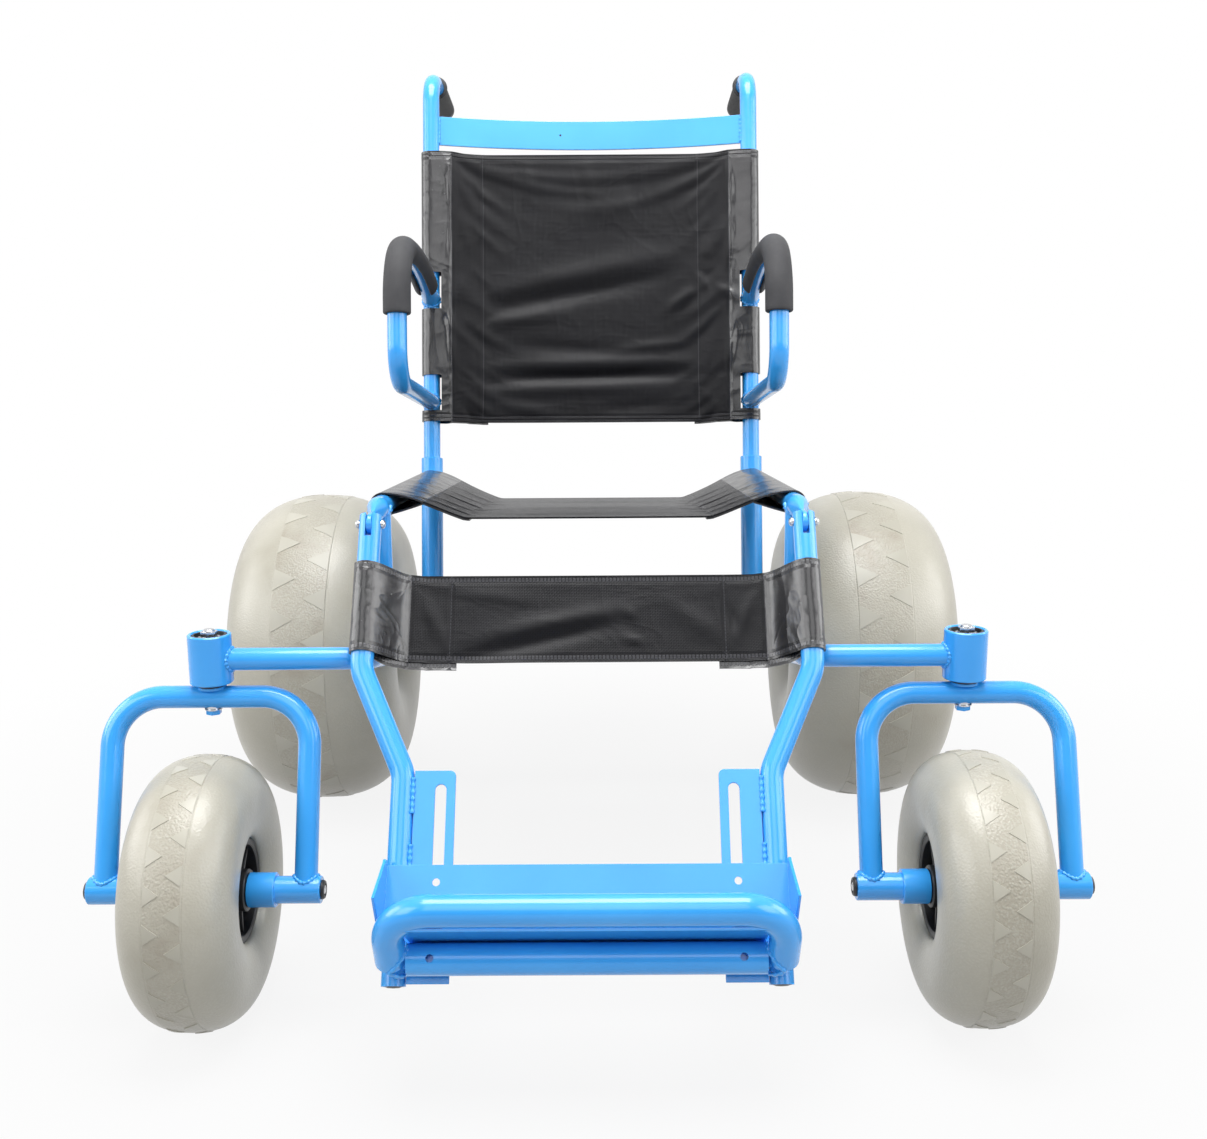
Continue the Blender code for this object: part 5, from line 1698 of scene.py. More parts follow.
    def settle(self) -> dict[float, list[Vector]]:
        """Let a trial panel with a little spare length hang between its tubes.

        Returns:
            Move of each point in the panel's own frame, by the x of its column.
        """
        outer, inner = self.seams
        half = marks(0.0, STOCK.side_x, self.pitch, [inner, outer])
        across = [-x for x in reversed(half[1:])] + half
        count = len(self.rows)
        spots = [self.frame @ Vector((x, self.panel_y(x) + self.relief(x, z), z)) for x in across for z in self.rows]
        faces = [(first, first + count, first + count + 1, first + 1)
                 for first in range(count * (len(across) - 1)) if first % count < count - 1]
        trial = Bench.shell(spots, faces)
        pins = trial.vertex_groups.new(name="held")
        for column, x in enumerate(across):
            weight = clamp((abs(x) - inner) / (outer - inner)) ** 2
            if weight > 0.0:
                pins.add(list(range(column * count, (column + 1) * count)), weight, "REPLACE")
        step = trial.modifiers.new("Hang", "CLOTH")
        for key, value in {"quality": 5, "mass": 0.35, "tension_stiffness": 20.0, "compression_stiffness": 10.0,
                           "shear_stiffness": 6.0, "bending_stiffness": 0.6, "air_damping": 3.0,
                           "shrink_min": -self.slack, "vertex_group_mass": "held"}.items():
            setattr(step.settings, key, value)
        step.collision_settings.use_collision = False
        step.point_cache.frame_start = 1
        step.point_cache.frame_end = self.steps
        scene = bpy.context.scene
        for number in range(1, self.steps + 1):
            scene.frame_set(number)
        hung = trial.evaluated_get(bpy.context.evaluated_depsgraph_get()).data
        turn = self.frame.to_3x3().inverted()
        moves = []
        for vertex, spot in zip(hung.vertices, spots):
            way = turn @ (vertex.co - spot)
            moves.append(way * min(1.0, self.give / max(way.length, MERGE)))
        LOG.info("%s settled by up to %.1f mm", self.node, max(way.length for way in moves) * 1000)
        bpy.data.objects.remove(trial, do_unlink=True)
        scene.frame_set(1)
        return {x: moves[column * count:(column + 1) * count] for column, x in enumerate(across)}


@dataclass
class SeatSling(Assembly):
    """The seat's cloth, with the places of its edges on the rails.

    Attributes are metres.
    """

    front_inset: float = 0.018
    rear_inset: float = 0.030

    def build(self) -> None:
        """Make the seat."""
        rear_y, rear_z = STOCK.seat_rear_y, STOCK.seat_rear_z
        run, rise = rear_y - STOCK.post_y, STOCK.seat_front_z - rear_z
        low = self.front_inset - math.hypot(run, rise)
        folds = [(side * (0.205 - shift), low + 0.03 + z, side * (0.130 - shift), low + 0.10 + z * 0.9,
                  0.006, 0.0016) for side in (-1.0, 1.0)
                 for shift, z in ((0.0, 0.0), (0.008, 0.06), (0.002, 0.13), (0.012, 0.20), (0.004, 0.27))]
        folds += [(-0.12, low + 0.05, 0.10, low + 0.06, 0.030, -0.0020),
                  (-0.14, low + 0.17, 0.13, low + 0.19, 0.040, 0.0018),
                  (-0.10, low + 0.32, 0.15, low + 0.30, 0.032, -0.0016)]
        place = at(0.0, rear_y, rear_z) @ twist(-math.pi / 2 - math.atan2(rise, run))
        Sling("seat_sling", "seat_rail_*_tube", low, -self.rear_inset, 0.032, 0.110, (0.198, 0.150), 0.012, folds,
              give=0.005, slack=0.008, lean=0.0065, palette=self.palette, body=self.body, frame=place).build()


# Backrest


@dataclass
class Backrest(Assembly):
    """Canes with handles, crossbar, armrests with pads and the back's cloth.

    Attributes are metres, and angles are radians.
    """

    foot: float = -0.107
    corner: float = 0.652
    reach: float = 0.178
    rise: float = math.radians(4.35)
    grip_length: float = 0.119
    grip_r: float = 0.016
    grip_flange_r: float = 0.0182
    grip_end: float = 0.009
    grip_ribs: int = 22
    bar_low: float = 0.5445
    bar_high: float = 0.589
    bar_t: float = 0.005
    bar_bow: float = 0.029
    hole: Pair = (-0.0466, 0.5668)
    arm_corners: tuple[Pair, ...] = ((0.0, 0.2996), (-0.165, 0.3215), (-0.341, 0.297), (-0.335, 0.119),
                                     (0.0, 0.1421))
    arm_bends: tuple[float, ...] = (0.600, 0.075, 0.045)
    pad_start: float = 0.064
    pad_length: float = 0.345
    pad_r: float = 0.018
    pad_slit: float = 0.007
    pad_end: float = 0.0022
    pad_pitch: float = 0.004
    low: float = 0.1115
    high: float = 0.530
    notches: tuple[Pair, Pair] = ((0.1280, 0.1831), (0.2855, 0.3421))
    folds: tuple[tuple[float, ...], ...] = (
        (-0.175, 0.287, 0.100, 0.335, 0.015, -0.0055), (-0.150, 0.312, 0.150, 0.376, 0.020, 0.0042),
        (-0.190, 0.262, -0.040, 0.282, 0.012, 0.0030), (0.165, 0.345, 0.186, 0.305, 0.006, 0.0046),
        (0.184, 0.327, 0.226, 0.300, 0.006, 0.0040), (0.118, 0.284, 0.168, 0.322, 0.009, 0.0036),
        (0.150, 0.372, 0.205, 0.352, 0.010, -0.0034), (-0.190, 0.179, 0.200, 0.187, 0.0085, -0.0056),
        (-0.180, 0.199, 0.190, 0.205, 0.011, 0.0040), (-0.200, 0.160, 0.120, 0.166, 0.010, 0.0026),
        (0.164, 0.166, 0.196, 0.134, 0.006, 0.0036), (0.050, 0.225, 0.150, 0.236, 0.007, 0.0026),
        (-0.120, 0.232, 0.030, 0.222, 0.010, -0.0022), (-0.099, 0.516, -0.092, 0.450, 0.008, 0.0022),
        (-0.006, 0.516, 0.002, 0.455, 0.008, 0.0022), (0.060, 0.505, 0.072, 0.440, 0.012, -0.0018),
        (-0.040, 0.430, 0.080, 0.455, 0.022, 0.0026), (-0.204, 0.500, -0.196, 0.452, 0.006, 0.0034),
        (-0.186, 0.488, -0.170, 0.430, 0.007, -0.0030), (-0.200, 0.430, -0.186, 0.372, 0.006, 0.0032),
        (-0.188, 0.352, -0.205, 0.300, 0.006, 0.0034), (0.198, 0.500, 0.186, 0.440, 0.006, 0.0034),
        (0.178, 0.470, 0.192, 0.405, 0.007, -0.0028), (0.205, 0.420, 0.196, 0.376, 0.006, 0.0030),
        (-0.218, 0.512, -0.213, 0.430, 0.0045, 0.0048), (-0.213, 0.440, -0.219, 0.352, 0.0040, 0.0042),
        (0.213, 0.514, 0.219, 0.440, 0.0045, 0.0046), (0.219, 0.430, 0.213, 0.350, 0.0040, 0.0044),
        (-0.218, 0.278, -0.213, 0.196, 0.0042, 0.0046), (0.218, 0.272, 0.214, 0.190, 0.0042, 0.0044),
        (-0.226, 0.278, -0.206, 0.246, 0.006, 0.0036), (0.226, 0.270, 0.212, 0.205, 0.006, 0.0030),
        (-0.160, 0.140, -0.060, 0.128, 0.009, 0.0020), (0.020, 0.132, 0.140, 0.140, 0.009, -0.0020))

    def build(self) -> None:
        """Build the backrest."""
        self.both(self.cane, self.grip, self.armrest)
        self.crossbar()
        self.close()
        Sling("back_sling", "back_cane_*_tube", self.low, self.high, 0.014, 0.090, (0.2146, 0.167), 0.009,
              self.folds, self.notches, give=0.003, slack=0.004, drop=0.003, palette=self.palette,
              body=self.body, frame=self.frame).build()

    def cane(self) -> None:
        """Bend one cane with its push handle."""
        corner = Vector((self.x, 0.0, self.corner))
        end = corner + Vector((0.0, math.cos(self.rise), math.sin(self.rise))) * self.reach
        path = rounded([(self.x, 0.0, self.foot), corner, end], STOCK.bend)
        self.done(Bench.sweep(path, STOCK.tube), "back_cane_*", "tube", angle=40.0)

    def grip(self) -> None:
        """Turn the hand grip, with its flange and its rounded end."""
        root, end, last = self.reach - self.grip_length, self.reach + self.grip_end, self.reach + STOCK.gap
        outer, flange, bore = self.grip_r, self.grip_flange_r, STOCK.tube + STOCK.gap
        profile = [(bore, root), (flange - 0.0008, root), (flange, root + 0.0008), (flange, root + 0.0018),
                   (flange - 0.0009, root + 0.0030), (outer - 0.0005, root + 0.0052)]
        begin = root + 0.010
        size = (self.reach - 0.006 - begin) / self.grip_ribs
        for index in range(self.grip_ribs):
            low = begin + size * index
            profile += [(outer - 0.0008, low), (outer, low + size * 0.28), (outer, low + size * 0.62),
                        (outer - 0.0008, low + size * 0.90)]
        for index in range(1, 10):
            angle = math.pi / 2 * index / 10
            profile.append(((outer - 0.0002) * math.cos(angle), end - 0.008 + 0.008 * math.sin(angle)))
        profile += [(0.0, end), (0.0, last), (bore, last)]
        place = at(self.x, 0.0, self.corner) @ twist(self.rise - math.pi / 2)
        self.done(Bench.turn(profile, 48, place), "handle_grip_*", "sleeve", Slot.GRIP, 50.0)

    def armrest(self) -> None:
        """Bend one armrest loop and lay its foam pad on it."""
        path = rounded([(self.x, y, z) for y, z in self.arm_corners], self.arm_bends)
        inside = [path[0].lerp(path[1], 0.05), *path[1:-1], path[-1].lerp(path[-2], 0.03)]
        self.done(Bench.sweep(inside, STOCK.tube), "armrest_*", "tube", angle=40.0)
        for foot, other in ((path[0], path[1]), (path[-1], path[-2])):
            self.saddle(foot, other - foot, STOCK.tube, (0, 0, 1), STOCK.tube)
        self.pad(along(path, self.pad_start, self.pad_length, self.pad_pitch))

    def pad(self, line: Sequence[Vector]) -> None:
        """Loft the foam channel, open on the loop's inner side.

        Args:
            line: its centre line.
        """
        inner, end = STOCK.tube + 0.0006, self.pad_end
        wall = (self.pad_r - inner) / 2
        fars = distances(line)
        total = fars[-1]
        rings = []
        forced = [0.0003, 0.0010, end, total - end, total - 0.0010, total - 0.0003]
        for far in marks(0.0, total, self.pad_pitch, forced):
            after = next((index for index, mark in enumerate(fars) if mark >= far - MERGE and index > 0), 1)
            spot = line[after - 1].lerp(line[after], (far - fars[after - 1]) / (fars[after] - fars[after - 1]))
            way = (line[min(after + 1, len(line) - 1)] - line[max(after - 2, 0)]).normalized()
            inward = Vector((0.0, -way.z, way.y))
            depth = min(far, total - far, end) / end
            half = wall * math.sqrt(max(0.02, 1 - (1 - depth) ** 2))
            swell = 1.0 + 0.010 * math.sin(far * 61.0) * math.sin(far * 23.0 + 1.3)
            rings.append([spot + inward * radius * math.cos(angle) + Vector((radius * math.sin(angle), 0.0, 0.0))
                          for angle, radius in self.channel((inner + wall) * swell, half)])
        count = len(rings[0])
        caps = [(base + index, base + index + 1, base + count - 2 - index, base + count - 1 - index)
                for base in (0, count * (len(rings) - 1)) for index in range(count // 2 - 1)]
        pad = Bench.loft(rings, caps)
        self.done(pad, "arm_pad_*", "foam", Slot.FOAM, 60.0)

    def channel(self, middle: float, half: float) -> list[Pair]:
        """Cross-section of the foam channel.

        Args:
            middle: radius of the wall's middle.
            half: half the wall.

        Returns:
            Angle from the slit and radius of each point, as many on the inside as on the outside.
        """
        steps, soft = 36, 4
        begin = math.asin(self.pad_slit / middle) + half / middle
        turns = [math.pi / 2 * index / soft for index in range(1, soft + 1)]
        lip = [(half * math.sin(turn) / middle, half * math.cos(turn)) for turn in turns]
        section = [(begin - shift, deep) for shift, deep in reversed(lip)]
        section += [(begin + 2 * (math.pi - begin) * index / steps, half) for index in range(steps + 1)]
        section += [(2 * math.pi - begin + shift, deep) for shift, deep in lip]
        return ([(angle, middle + deep) for angle, deep in section]
                + [(angle, middle - deep) for angle, deep in reversed(section)])

    def crossbar(self) -> None:
        """Bow the flat bar between the canes, with a black disc in its blind hole as painted shade."""
        span, thick = STOCK.side_x, self.bar_t / 2
        radius = (span ** 2 + self.bar_bow ** 2) / (2 * self.bar_bow)
        edge = math.asin((span - 0.006) / radius)
        front, back = ([(size * math.sin(angle), self.bar_bow - radius + size * math.cos(angle))
                        for angle in (edge * (index / 24 - 1) for index in range(49))]
                       for size in (radius - thick, radius + thick))
        bar = Bench.plate(front + back[::-1], self.bar_low, self.bar_high, Matrix(), 0.0009)
        Bench.dress(bar, self.palette.paint)
        x, z = self.hole
        y = self.bar_bow - radius + math.sqrt(radius ** 2 - x ** 2)
        Bench.cut(bar, Bench.rod((x, y - 0.01, z), (x, y - 0.0008, z), 0.0017, 20))
        # Painted shade: a black plastic disc at the bottom of the blind hole stands for the shade inside it.
        plug = Bench.rod((x, y - 0.0014, z), (x, y - 0.0004, z), 0.0018, 20)
        self.done(Bench.join([bar, Bench.dress(plug, self.palette.plastic)]), "back_crossbar", "plate")
        for sign in BOTH_WAYS:
            x = sign * (span - STOCK.tube + 0.0004)
            y = self.bar_bow - radius + math.sqrt(radius ** 2 - x ** 2)
            for shift in (-1.0, 1.0):
                place = y + shift * (thick + 0.0006)
                self.straight((x, place, self.bar_low + 0.002), (x, place, self.bar_high - 0.002))


@dataclass
class Knob(Assembly):
    """Hand screw that holds a cane in its socket.

    Attributes are metres.
    """

    height: float = 0.0164
    radius: float = 0.010
    depth: float = 0.009
    stem: float = 0.004
    lobes: int = 7
    press: float = 0.11

    def build(self) -> None:
        """Turn the knob and press hollows in its rim."""
        sign, spot = self.side.value, STOCK.back_point(self.height)
        place = at(sign * (STOCK.side_x - STOCK.socket - STOCK.gap), spot.y, spot.z)
        self.frame = place @ (twist(math.pi, "Z") if sign > 0 else Matrix()) @ ALONG_X
        tip = STOCK.socket + STOCK.gap - STOCK.tube - 0.0006
        outer, deep = self.radius, self.depth
        profile = [(0.0, -tip), (self.stem - 0.0006, -tip), (self.stem, -tip + 0.0006), (self.stem, 0.0),
                   (outer - 0.0022, 0.0), (outer - 0.0010, 0.0005), (outer - 0.0004, 0.0018), (outer, 0.0034),
                   (outer, deep - 0.0026), (outer - 0.0005, deep - 0.0014), (outer - 0.0016, deep - 0.0004),
                   (outer - 0.0032, deep), (outer - 0.0050, deep), (outer - 0.0056, deep - 0.0006),
                   (0.0, deep - 0.0008)]
        knob = Bench.turn(profile, self.lobes * 12)
        for vertex in knob.data.vertices:
            x, y, z = vertex.co
            if math.hypot(x, y) > outer - 0.0036 and z > 0.0001:
                grow = 1 - self.press * (0.5 + 0.5 * math.cos(self.lobes * math.atan2(y, x))) ** 3
                vertex.co = (x * grow, y * grow, z)
        self.done(knob, "clamp_knob_*", "head", Slot.PLASTIC, 50.0)


# Leg rest


@dataclass
class LegRest(Assembly):
    """Legs with their ears, slotted plates and pivot bolts, and the calf strap.

    Attributes are metres.
    """

    top: float = 0.010
    bend_high: float = 0.1724
    bend_low: float = 0.2867
    end: float = 0.5025
    low_x: float = 0.1955
    ear_half: float = 0.0038
    ear_depth: float = 0.0185
    pin_r: float = 0.004
    head_r: float = 0.0052
    head_t: float = 0.0044
    plate_x: float = 0.139
    plate_y: float = -0.004
    plate_t: float = 0.005
    plate_top: float = 0.2845
    plate_bottom: float = 0.5005
    plate_soft: float = 0.006
    seams: tuple[Pair, ...] = ((0.292, 0.330), (0.362, 0.392), (0.448, 0.486))
    slot_x: float = 0.1545
    slot_half: float = 0.006
    slot_top: float = 0.299
    slot_bottom: float = 0.470
    strap_top: float = 0.049
    strap_bottom: float = 0.153
    folds: tuple[tuple[float, ...], ...] = (
        (-0.150, -0.150, 0.040, -0.104, 0.010, -0.0050), (-0.110, -0.122, 0.050, -0.092, 0.013, 0.0044),
        (0.044, -0.090, 0.052, -0.104, 0.0035, 0.0026), (0.040, -0.124, 0.062, -0.130, 0.004, 0.0028),
        (0.090, -0.080, 0.150, -0.126, 0.012, 0.0024), (-0.195, -0.064, -0.160, -0.136, 0.007, 0.0024),
        (0.196, -0.060, 0.168, -0.128, 0.006, 0.0026), (0.158, -0.086, 0.172, -0.120, 0.005, -0.0024),
        (-0.150, -0.070, -0.060, -0.078, 0.010, 0.0014))

    def build(self) -> None:
        """Build the leg rest."""
        self.both(self.leg, self.pivot_bolt, self.plate)
        self.close()
        Sling("calf_strap", "leg_tube_*_tube", -self.strap_bottom, -self.strap_top, 0.0505, 0.047, (0.2025, 0.156),
              0.007, self.folds, give=0.002, slack=0.002, drop=0.008, palette=self.palette, body=self.body,
              frame=self.frame).build()

    def leg(self) -> None:
        """Bend one leg, slot its ear and plug its end."""
        x, low_x = self.x, self.side.value * self.low_x
        corners = [(x, 0, self.top), (x, 0, -self.bend_high), (low_x, 0, -self.bend_low), (low_x, 0, -self.end)]
        leg = Bench.ease(Bench.sweep(rounded(corners, STOCK.bend), STOCK.tube, 48), 0.0010, 60.0)
        Bench.cut(leg, Bench.block((x - self.ear_half, -0.03, -self.ear_depth), (x + self.ear_half, 0.03, 0.03)))
        Bench.cut(leg, Bench.rod((x - 0.02, 0, 0), (x + 0.02, 0, 0), self.pin_r + STOCK.gap, 24))
        Bench.dress(leg, self.palette.paint)
        Bench.cut(leg, Bench.rod((low_x, 0, -self.end - 0.01), (low_x, 0, 0.006 - self.end), STOCK.tube - 0.002, 40))
        plug = [(0.0, -0.0016), (0.0060, -0.0012), (0.0094, 0.0), (0.0104, 0.0020), (0.0104, 0.0055), (0.0, 0.0055)]
        stopper = Bench.turn(plug, 40, at(low_x, 0, -self.end))
        self.done(Bench.join([leg, Bench.dress(stopper, self.palette.plastic)]), "leg_tube_*", "tube", angle=40.0)

    def pivot_bolt(self) -> None:
        """Turn the bolt through the ear, with a domed head at each end."""
        face = STOCK.tube + STOCK.gap
        end = face + self.head_t
        head = [(0.0, end), (self.head_r * 0.40, end - 0.0002), (self.head_r * 0.72, end - 0.0009),
                (self.head_r * 0.93, end - 0.0020), (self.head_r, end - 0.0032), (self.head_r, face),
                (self.pin_r, face)]
        bolt = Bench.turn(mirrored(head), 36, at(self.x, 0, 0) @ ALONG_X)
        self.done(bolt, "leg_pivot_bolt_*", "pin", Slot.STEEL, 40.0)

    def plate(self) -> None:
        """Cut the slotted plate and weld it to the leg."""
        sign, outer = self.side.value, self.low_x - STOCK.tube - STOCK.gap
        low, high, soft = -self.plate_bottom, -self.plate_top, self.plate_soft
        outline = [(self.plate_x, low), (outer, low), (outer, high)]
        for index in range(7):
            angle = math.pi / 2 * (1 + index / 6)
            outline.append((self.plate_x + soft + soft * math.cos(angle), high - soft + soft * math.sin(angle)))
        slot = []
        for centre, start in ((-self.slot_bottom + self.slot_half, math.pi), (-self.slot_top - self.slot_half, 0.0)):
            for index in range(13):
                angle = start + math.pi * index / 12
                slot.append((self.slot_x + self.slot_half * math.cos(angle),
                             centre + self.slot_half * math.sin(angle)))
        upright = Matrix.Diagonal((sign, 1.0, 1.0, 1.0)) @ twist(math.pi / 2)
        near, far = -self.plate_y - self.plate_t / 2, -self.plate_y + self.plate_t / 2
        plate = Bench.plate(outline, near, far, upright)
        Bench.cut(plate, Bench.plate(slot, near - 0.01, far + 0.01, upright))
        self.done(Bench.ease(plate, 0.0007, 50.0), "slotted_plate_*", "sheet", angle=40.0)
        seam_x = sign * (outer + 0.0012)
        for start, stop in self.seams:
            for y in (-far - 0.0007, -near + 0.0004):
                self.straight((seam_x, y, -start), (seam_x, y, -stop))


@dataclass
class FootSupport(Assembly):
    """Foot tray on its slot clamps, with the guard tube and the tube under it.

    Attributes are metres.
    """

    sheet: float = 0.003
    half: float = 0.2085
    top: float = 0.384
    fold: float = 0.462
    tuck: float = 0.009
    cheek_depth: float = 0.013
    cheek_rise: float = 0.005
    guard_x: float = 0.1945
    guard_y: float = -0.0917
    guard_down: float = 0.4374
    foot_y: float = -0.030
    foot_down: float = 0.478
    hole_r: float = 0.004
    hole_x: float = 0.1545
    hole_down: float = 0.4015
    bolt_hole_r: float = 0.0043
    strip_half: float = 0.010
    clamp_down: Pair = (0.424, 0.448)

    @property
    def back(self) -> float:
        """The tray's back face."""
        return -STOCK.tube - 2 * STOCK.gap

    @property
    def inner(self) -> float:
        """Half width between the guard's arms."""
        return self.guard_x - STOCK.guard - STOCK.gap

    def build(self) -> None:
        """Build the foot support."""
        self.tray()
        self.tubes()
        self.both(self.clamp)
        self.close()

    def tray(self) -> None:
        """Fold the tray with its sole and cheeks, and drill it."""
        front, middle = self.back - self.sheet, self.back - self.sheet / 2
        wide = self.half - self.sheet / 3
        tray = Bench.block((-wide, front, -self.fold - self.tuck), (wide, self.back, -self.top))
        sole_top = -self.guard_down - STOCK.guard - STOCK.gap
        sole = [(middle, -self.fold + self.sheet), (middle, -self.fold + STOCK.gap),
                (self.guard_y, sole_top - self.sheet), (self.guard_y, sole_top)]
        Bench.cut(tray, Bench.plate(sole, -self.inner, self.inner, STANDING), "UNION")
        slope = Vector((self.guard_y - self.foot_y, self.foot_down - self.guard_down)).normalized()
        rest = Vector((self.guard_y, -self.guard_down)) + Vector((slope.y, -slope.x)) * (STOCK.guard + STOCK.gap)
        low_y = rest.x + (-self.fold - rest.y) * slope.x / slope.y
        tip = Vector((self.back - self.cheek_depth, -self.top + self.cheek_rise))
        cheek = [(middle, tip.y), (tip.x + 0.003, tip.y), (tip.x + 0.0008, tip.y - 0.0008),
                 (tip.x - 0.0016, tip.y - 0.004), tuple(rest), (low_y, -self.fold), (middle, -self.fold)]
        for sign in BOTH_WAYS:
            ends = sorted((sign * self.half, sign * (self.half - self.sheet)))
            Bench.cut(tray, Bench.plate(cheek, *ends, STANDING), "UNION")
        Bench.ease(Bench.clean(tray), 0.0008, 40.0)
        holes = [(self.hole_down, self.hole_r), *((down, self.bolt_hole_r) for down in self.clamp_down)]
        for sign in BOTH_WAYS:
            x = sign * self.hole_x
            for down, radius in holes:
                Bench.cut(tray, Bench.rod((x, -0.03, -down), (x, 0.0, -down), radius))
        self.done(tray, "foot_tray", "sheet", angle=40.0)

    def tubes(self) -> None:
        """Bend the guard tube, and fit and weld the tube under the tray."""
        x, foot = self.guard_x, (self.foot_y, -self.foot_down)
        bar = (self.guard_y, -self.guard_down)
        corners = [(x, *foot), (x, *bar), (-x, *bar), (-x, *foot)]
        guard = Bench.ease(Bench.sweep(rounded(corners, STOCK.bend), STOCK.guard, 48), 0.0012, 60.0)
        self.done(guard, "foot_guard_tube", "bar", angle=40.0)
        cross = Bench.rod((-self.inner, *foot), (self.inner, *foot), STOCK.guard, 48)
        way = Vector(corners[1]) - Vector(corners[0])
        slope = way.normalized()
        over = Vector((0.0, slope.z, -slope.y)) * (STOCK.guard * 0.90)
        if over.z < 0:
            over = -over
        for sign in BOTH_WAYS:
            hole_x = sign * self.hole_x
            Bench.cut(cross, Bench.rod((hole_x, -0.06, foot[1]), (hole_x, -0.035, foot[1]), self.hole_r))
            self.saddle((sign * x, *foot), (-sign, 0, 0), STOCK.guard, way, STOCK.guard)
            start = Vector((sign * (self.half - self.sheet - 0.0006), *foot)) + over
            self.straight(start + slope * 0.006, start + slope * 0.040)
        self.done(cross, "foot_cross_tube", "bar", angle=40.0)

    def clamp(self) -> None:
        """Make the strip and the two bolts that hold the tray in a plate's slot."""
        x = self.side.value * self.hole_x
        high, low = self.clamp_down
        parts = [Bench.block((x - self.strip_half, -0.0012, -low - 0.012),
                             (x + self.strip_half, 0.0028, 0.012 - high), 0.0008)]
        head = self.back - self.sheet - STOCK.gap
        for down in self.clamp_down:
            for near, far, radius, sides, edge in (
                    (0.0025, head - 0.001, 0.004, 24, 0.0), (head, head - 0.0012, 0.0085, 32, 0.0003),
                    (head - 0.0012, head - 0.0040, 0.0066, 6, 0.0006),
                    (self.back + STOCK.gap, -0.0068, 0.0075, 32, 0.0004)):
                parts.append(Bench.rod((x, near, -down), (x, far, -down), radius, sides, edge))
        self.done(Bench.join(parts), "tray_clamp_*", "bolts", Slot.STEEL, 40.0)


# Studio


@dataclass(frozen=True)
class Lamp:
    """A soft lamp.

    Attributes:
        name: its name.
        place: where it stands, in metres.
        size: width and height in metres.
        power: watts.
    """

    name: str
    place: Spot
    size: Pair
    power: float


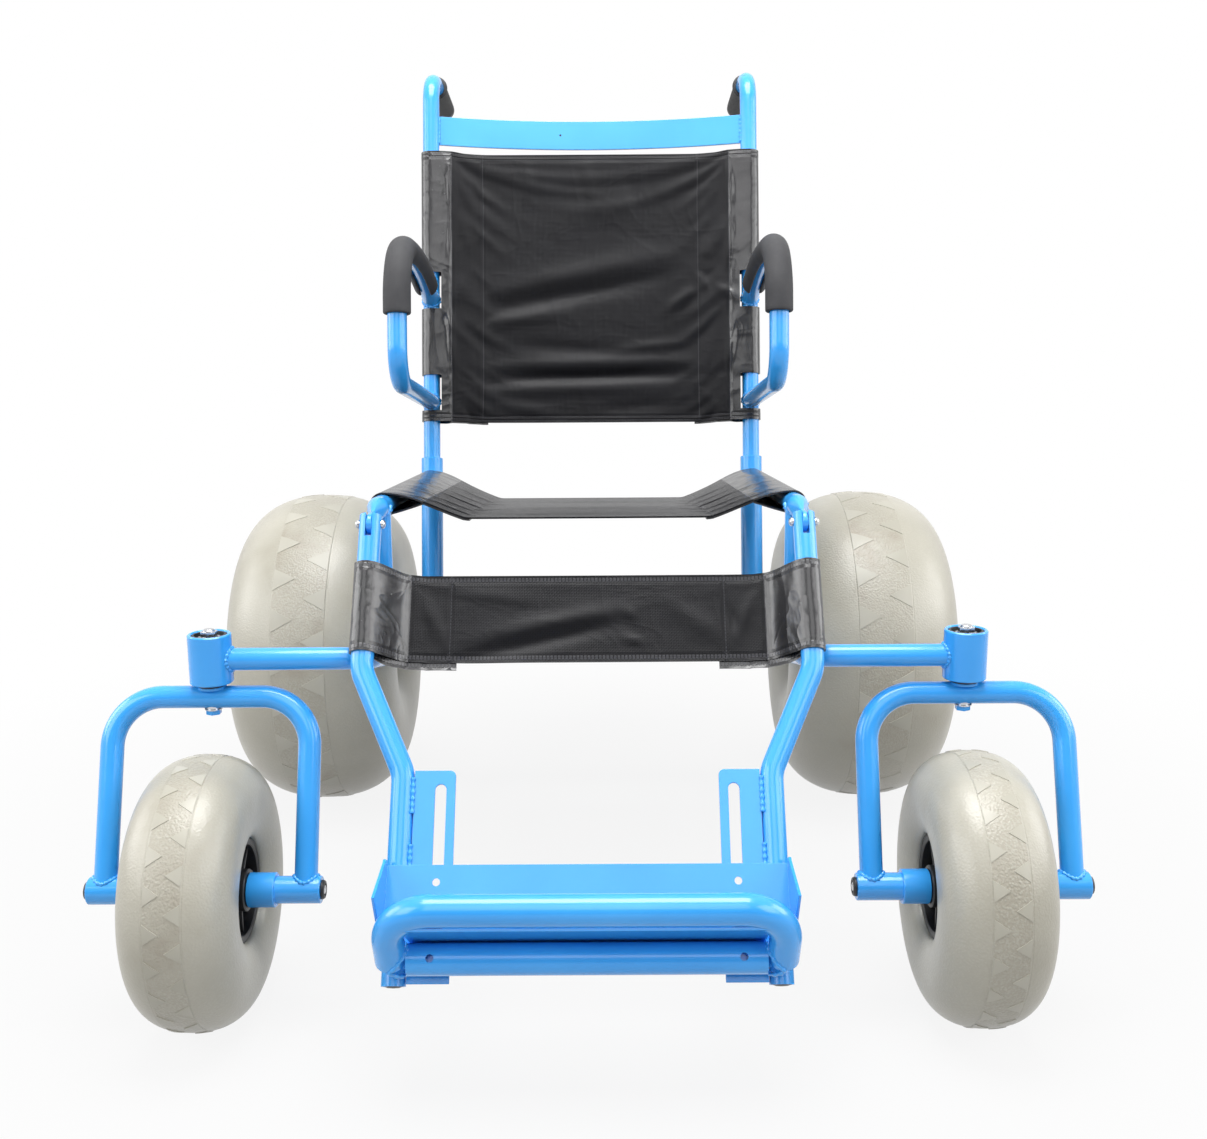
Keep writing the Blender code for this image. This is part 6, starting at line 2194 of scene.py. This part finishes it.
@dataclass
class Studio:
    """Camera, lamps, world and floor.

    Attributes:
        eye: the camera's place in metres.
        gaze: the way it looks.
        roll: its roll in radians.
        lens: focal length in millimetres on a sensor 36 mm wide.
        aim: the point that the lamps face.
        lamps: the lamps.
        fill: strength of the world's light on the object.
        behind: strength that gloss sees in front of the chair, where the studio is dim.
        floor_grey: colour value of the floor.
    """

    eye: Spot = (0.0206, -1.7337, 0.7641)
    gaze: Spot = (-0.00157, 0.98194, -0.18917)
    roll: float = -0.0063
    lens: float = 38.77
    aim: Spot = (0.0, 0.0, 0.45)
    lamps: tuple[Lamp, ...] = (
        Lamp("front_lamp", (0.0, -2.9, 2.8), (2.2, 2.2), 30.0),
        Lamp("front_left_lamp", (-2.5, -1.9, 1.9), (1.8, 1.8), 36.0),
        Lamp("front_right_lamp", (2.5, -1.9, 1.9), (1.8, 1.8), 32.0),
        Lamp("side_left_lamp", (-3.0, 0.0, 1.5), (1.7, 1.5), 33.0),
        Lamp("side_right_lamp", (3.0, 0.0, 1.5), (1.7, 1.5), 33.0),
        Lamp("top_lamp", (0.0, -0.4, 3.0), (2.0, 1.6), 96.0),
    )
    fill: float = 0.26
    behind: float = 0.25
    floor_grey: float = 0.42

    def build(self) -> None:
        """Set the scene up."""
        self.camera()
        for lamp in self.lamps:
            self.light(lamp)
        self.world()
        self.floor()
        bpy.context.scene.view_settings.view_transform = "Standard"

    def camera(self) -> None:
        """Stand the camera where the photograph was taken."""
        ahead = Vector(self.gaze).normalized()
        right = ahead.cross(UP).normalized()
        top = right.cross(ahead)
        across = math.cos(self.roll) * right + math.sin(self.roll) * top
        upward = math.cos(self.roll) * top - math.sin(self.roll) * right
        lens = bpy.data.cameras.new("photo_camera")
        lens.sensor_fit = "HORIZONTAL"
        lens.sensor_width = 36.0
        lens.lens = self.lens
        camera = bpy.data.objects.new("photo_camera", lens)
        bpy.context.scene.collection.objects.link(camera)
        camera.matrix_world = at(*self.eye) @ Matrix((across, upward, -ahead)).transposed().to_4x4()
        bpy.context.scene.camera = camera

    def light(self, lamp: Lamp) -> None:
        """Hang one lamp.

        Args:
            lamp: the lamp.
        """
        data = bpy.data.lights.new(lamp.name, "AREA")
        data.shape = "RECTANGLE"
        data.size, data.size_y = lamp.size
        data.energy = lamp.power
        made = bpy.data.objects.new(lamp.name, data)
        bpy.context.scene.collection.objects.link(made)
        made.location = lamp.place
        made.rotation_euler = (Vector(self.aim) - Vector(lamp.place)).to_track_quat("-Z", "Y").to_euler()

    def world(self) -> None:
        """Light the scene evenly, and show the white backdrop to the camera and in reflections."""
        world = bpy.data.worlds.new("studio")
        bpy.context.scene.world = world
        world.use_nodes = True
        tree = Tree(world.node_tree)
        ray = tree.node("LightPath").outputs
        way = tree.node("SeparateXYZ", {0: tree.node("TexCoord").outputs["Generated"]})
        glossy = tree.times(ray["Is Glossy Ray"], tree.spread(way.outputs["Y"], -0.75, -0.15, self.behind, 1.0))
        seen = tree.maths("MAXIMUM", ray["Is Camera Ray"], ray["Is Transmission Ray"])
        seen = tree.maths("MAXIMUM", seen, glossy)
        tree.fill(world.node_tree.nodes["Background"], {
            "Color": (1.0, 1.0, 1.0, 1.0), "Strength": tree.maths("MAXIMUM", seen, self.fill)})

    def floor(self) -> None:
        """Lay the pale floor, which melts into the white backdrop further out."""
        bpy.ops.object.select_all(action="DESELECT")
        bpy.ops.mesh.primitive_circle_add(vertices=96, radius=14.0, fill_type="NGON")
        floor = bpy.context.object
        floor.name = floor.data.name = "studio_floor"
        made = bpy.data.materials.new("pale_floor")
        made.use_nodes = True
        tree = Tree(made.node_tree)
        where = tree.node("TexCoord").outputs["Object"]
        pale, worn = ((grey, grey, grey, 1.0) for grey in (self.floor_grey, self.floor_grey - 0.01))
        shader = tree.fill(made.node_tree.nodes["Principled BSDF"], {
            "Base Color": tree.tint(tree.noise(where, 1.5), pale, worn), "Roughness": 0.9,
            "Specular IOR Level": 0.1})
        ray = tree.node("LightPath").outputs
        seen = tree.maths("MAXIMUM", ray["Is Camera Ray"], ray["Is Glossy Ray"])
        seen = tree.maths("MAXIMUM", seen, ray["Is Transmission Ray"])
        far = tree.node("VectorMath", {0: where}, operation="LENGTH").outputs["Value"]
        out = tree.node("MapRange", {"Value": far, "From Min": 0.4, "From Max": 1.6, "To Min": 0.88},
                        interpolation_type="SMOOTHSTEP").outputs["Result"]
        white = tree.node("Emission", {"Color": (1.0, 1.0, 1.0, 1.0), "Strength": 1.0})
        blend = tree.node("MixShader", {0: tree.times(seen, out), 1: shader.outputs[0], 2: white.outputs[0]})
        tree.fill(made.node_tree.nodes["Material Output"], {"Surface": blend.outputs[0]})
        Bench.dress(floor, made)


def main(frame: dict[str, Any]) -> None:
    """Build the chair's finished look.
    """
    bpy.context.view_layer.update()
    logging.basicConfig(level=logging.INFO, format="%(name)s: %(message)s")
    Studio().build()
    palette = Palette()
    MainFrame(palette=palette).build()
    for part, body in ((RearWheel, "rear_wheel"), (Caster, "caster")):
        for side in Side:
            part(palette=palette, body=f"{body}_{side.word}", side=side).build()
    SeatSling(palette=palette).build()
    Backrest(palette=palette, body="backrest", frame=STOCK.back).build()
    for side in Side:
        Knob(palette=palette, body=f"clamp_knob_{side.word}", side=side).build()
    LegRest(palette=palette, body="leg_rest", frame=STOCK.leg).build()
    FootSupport(palette=palette, body="foot_support", frame=STOCK.leg).build()
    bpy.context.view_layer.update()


if __name__ == "__main__":
    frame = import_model()
    main(frame)
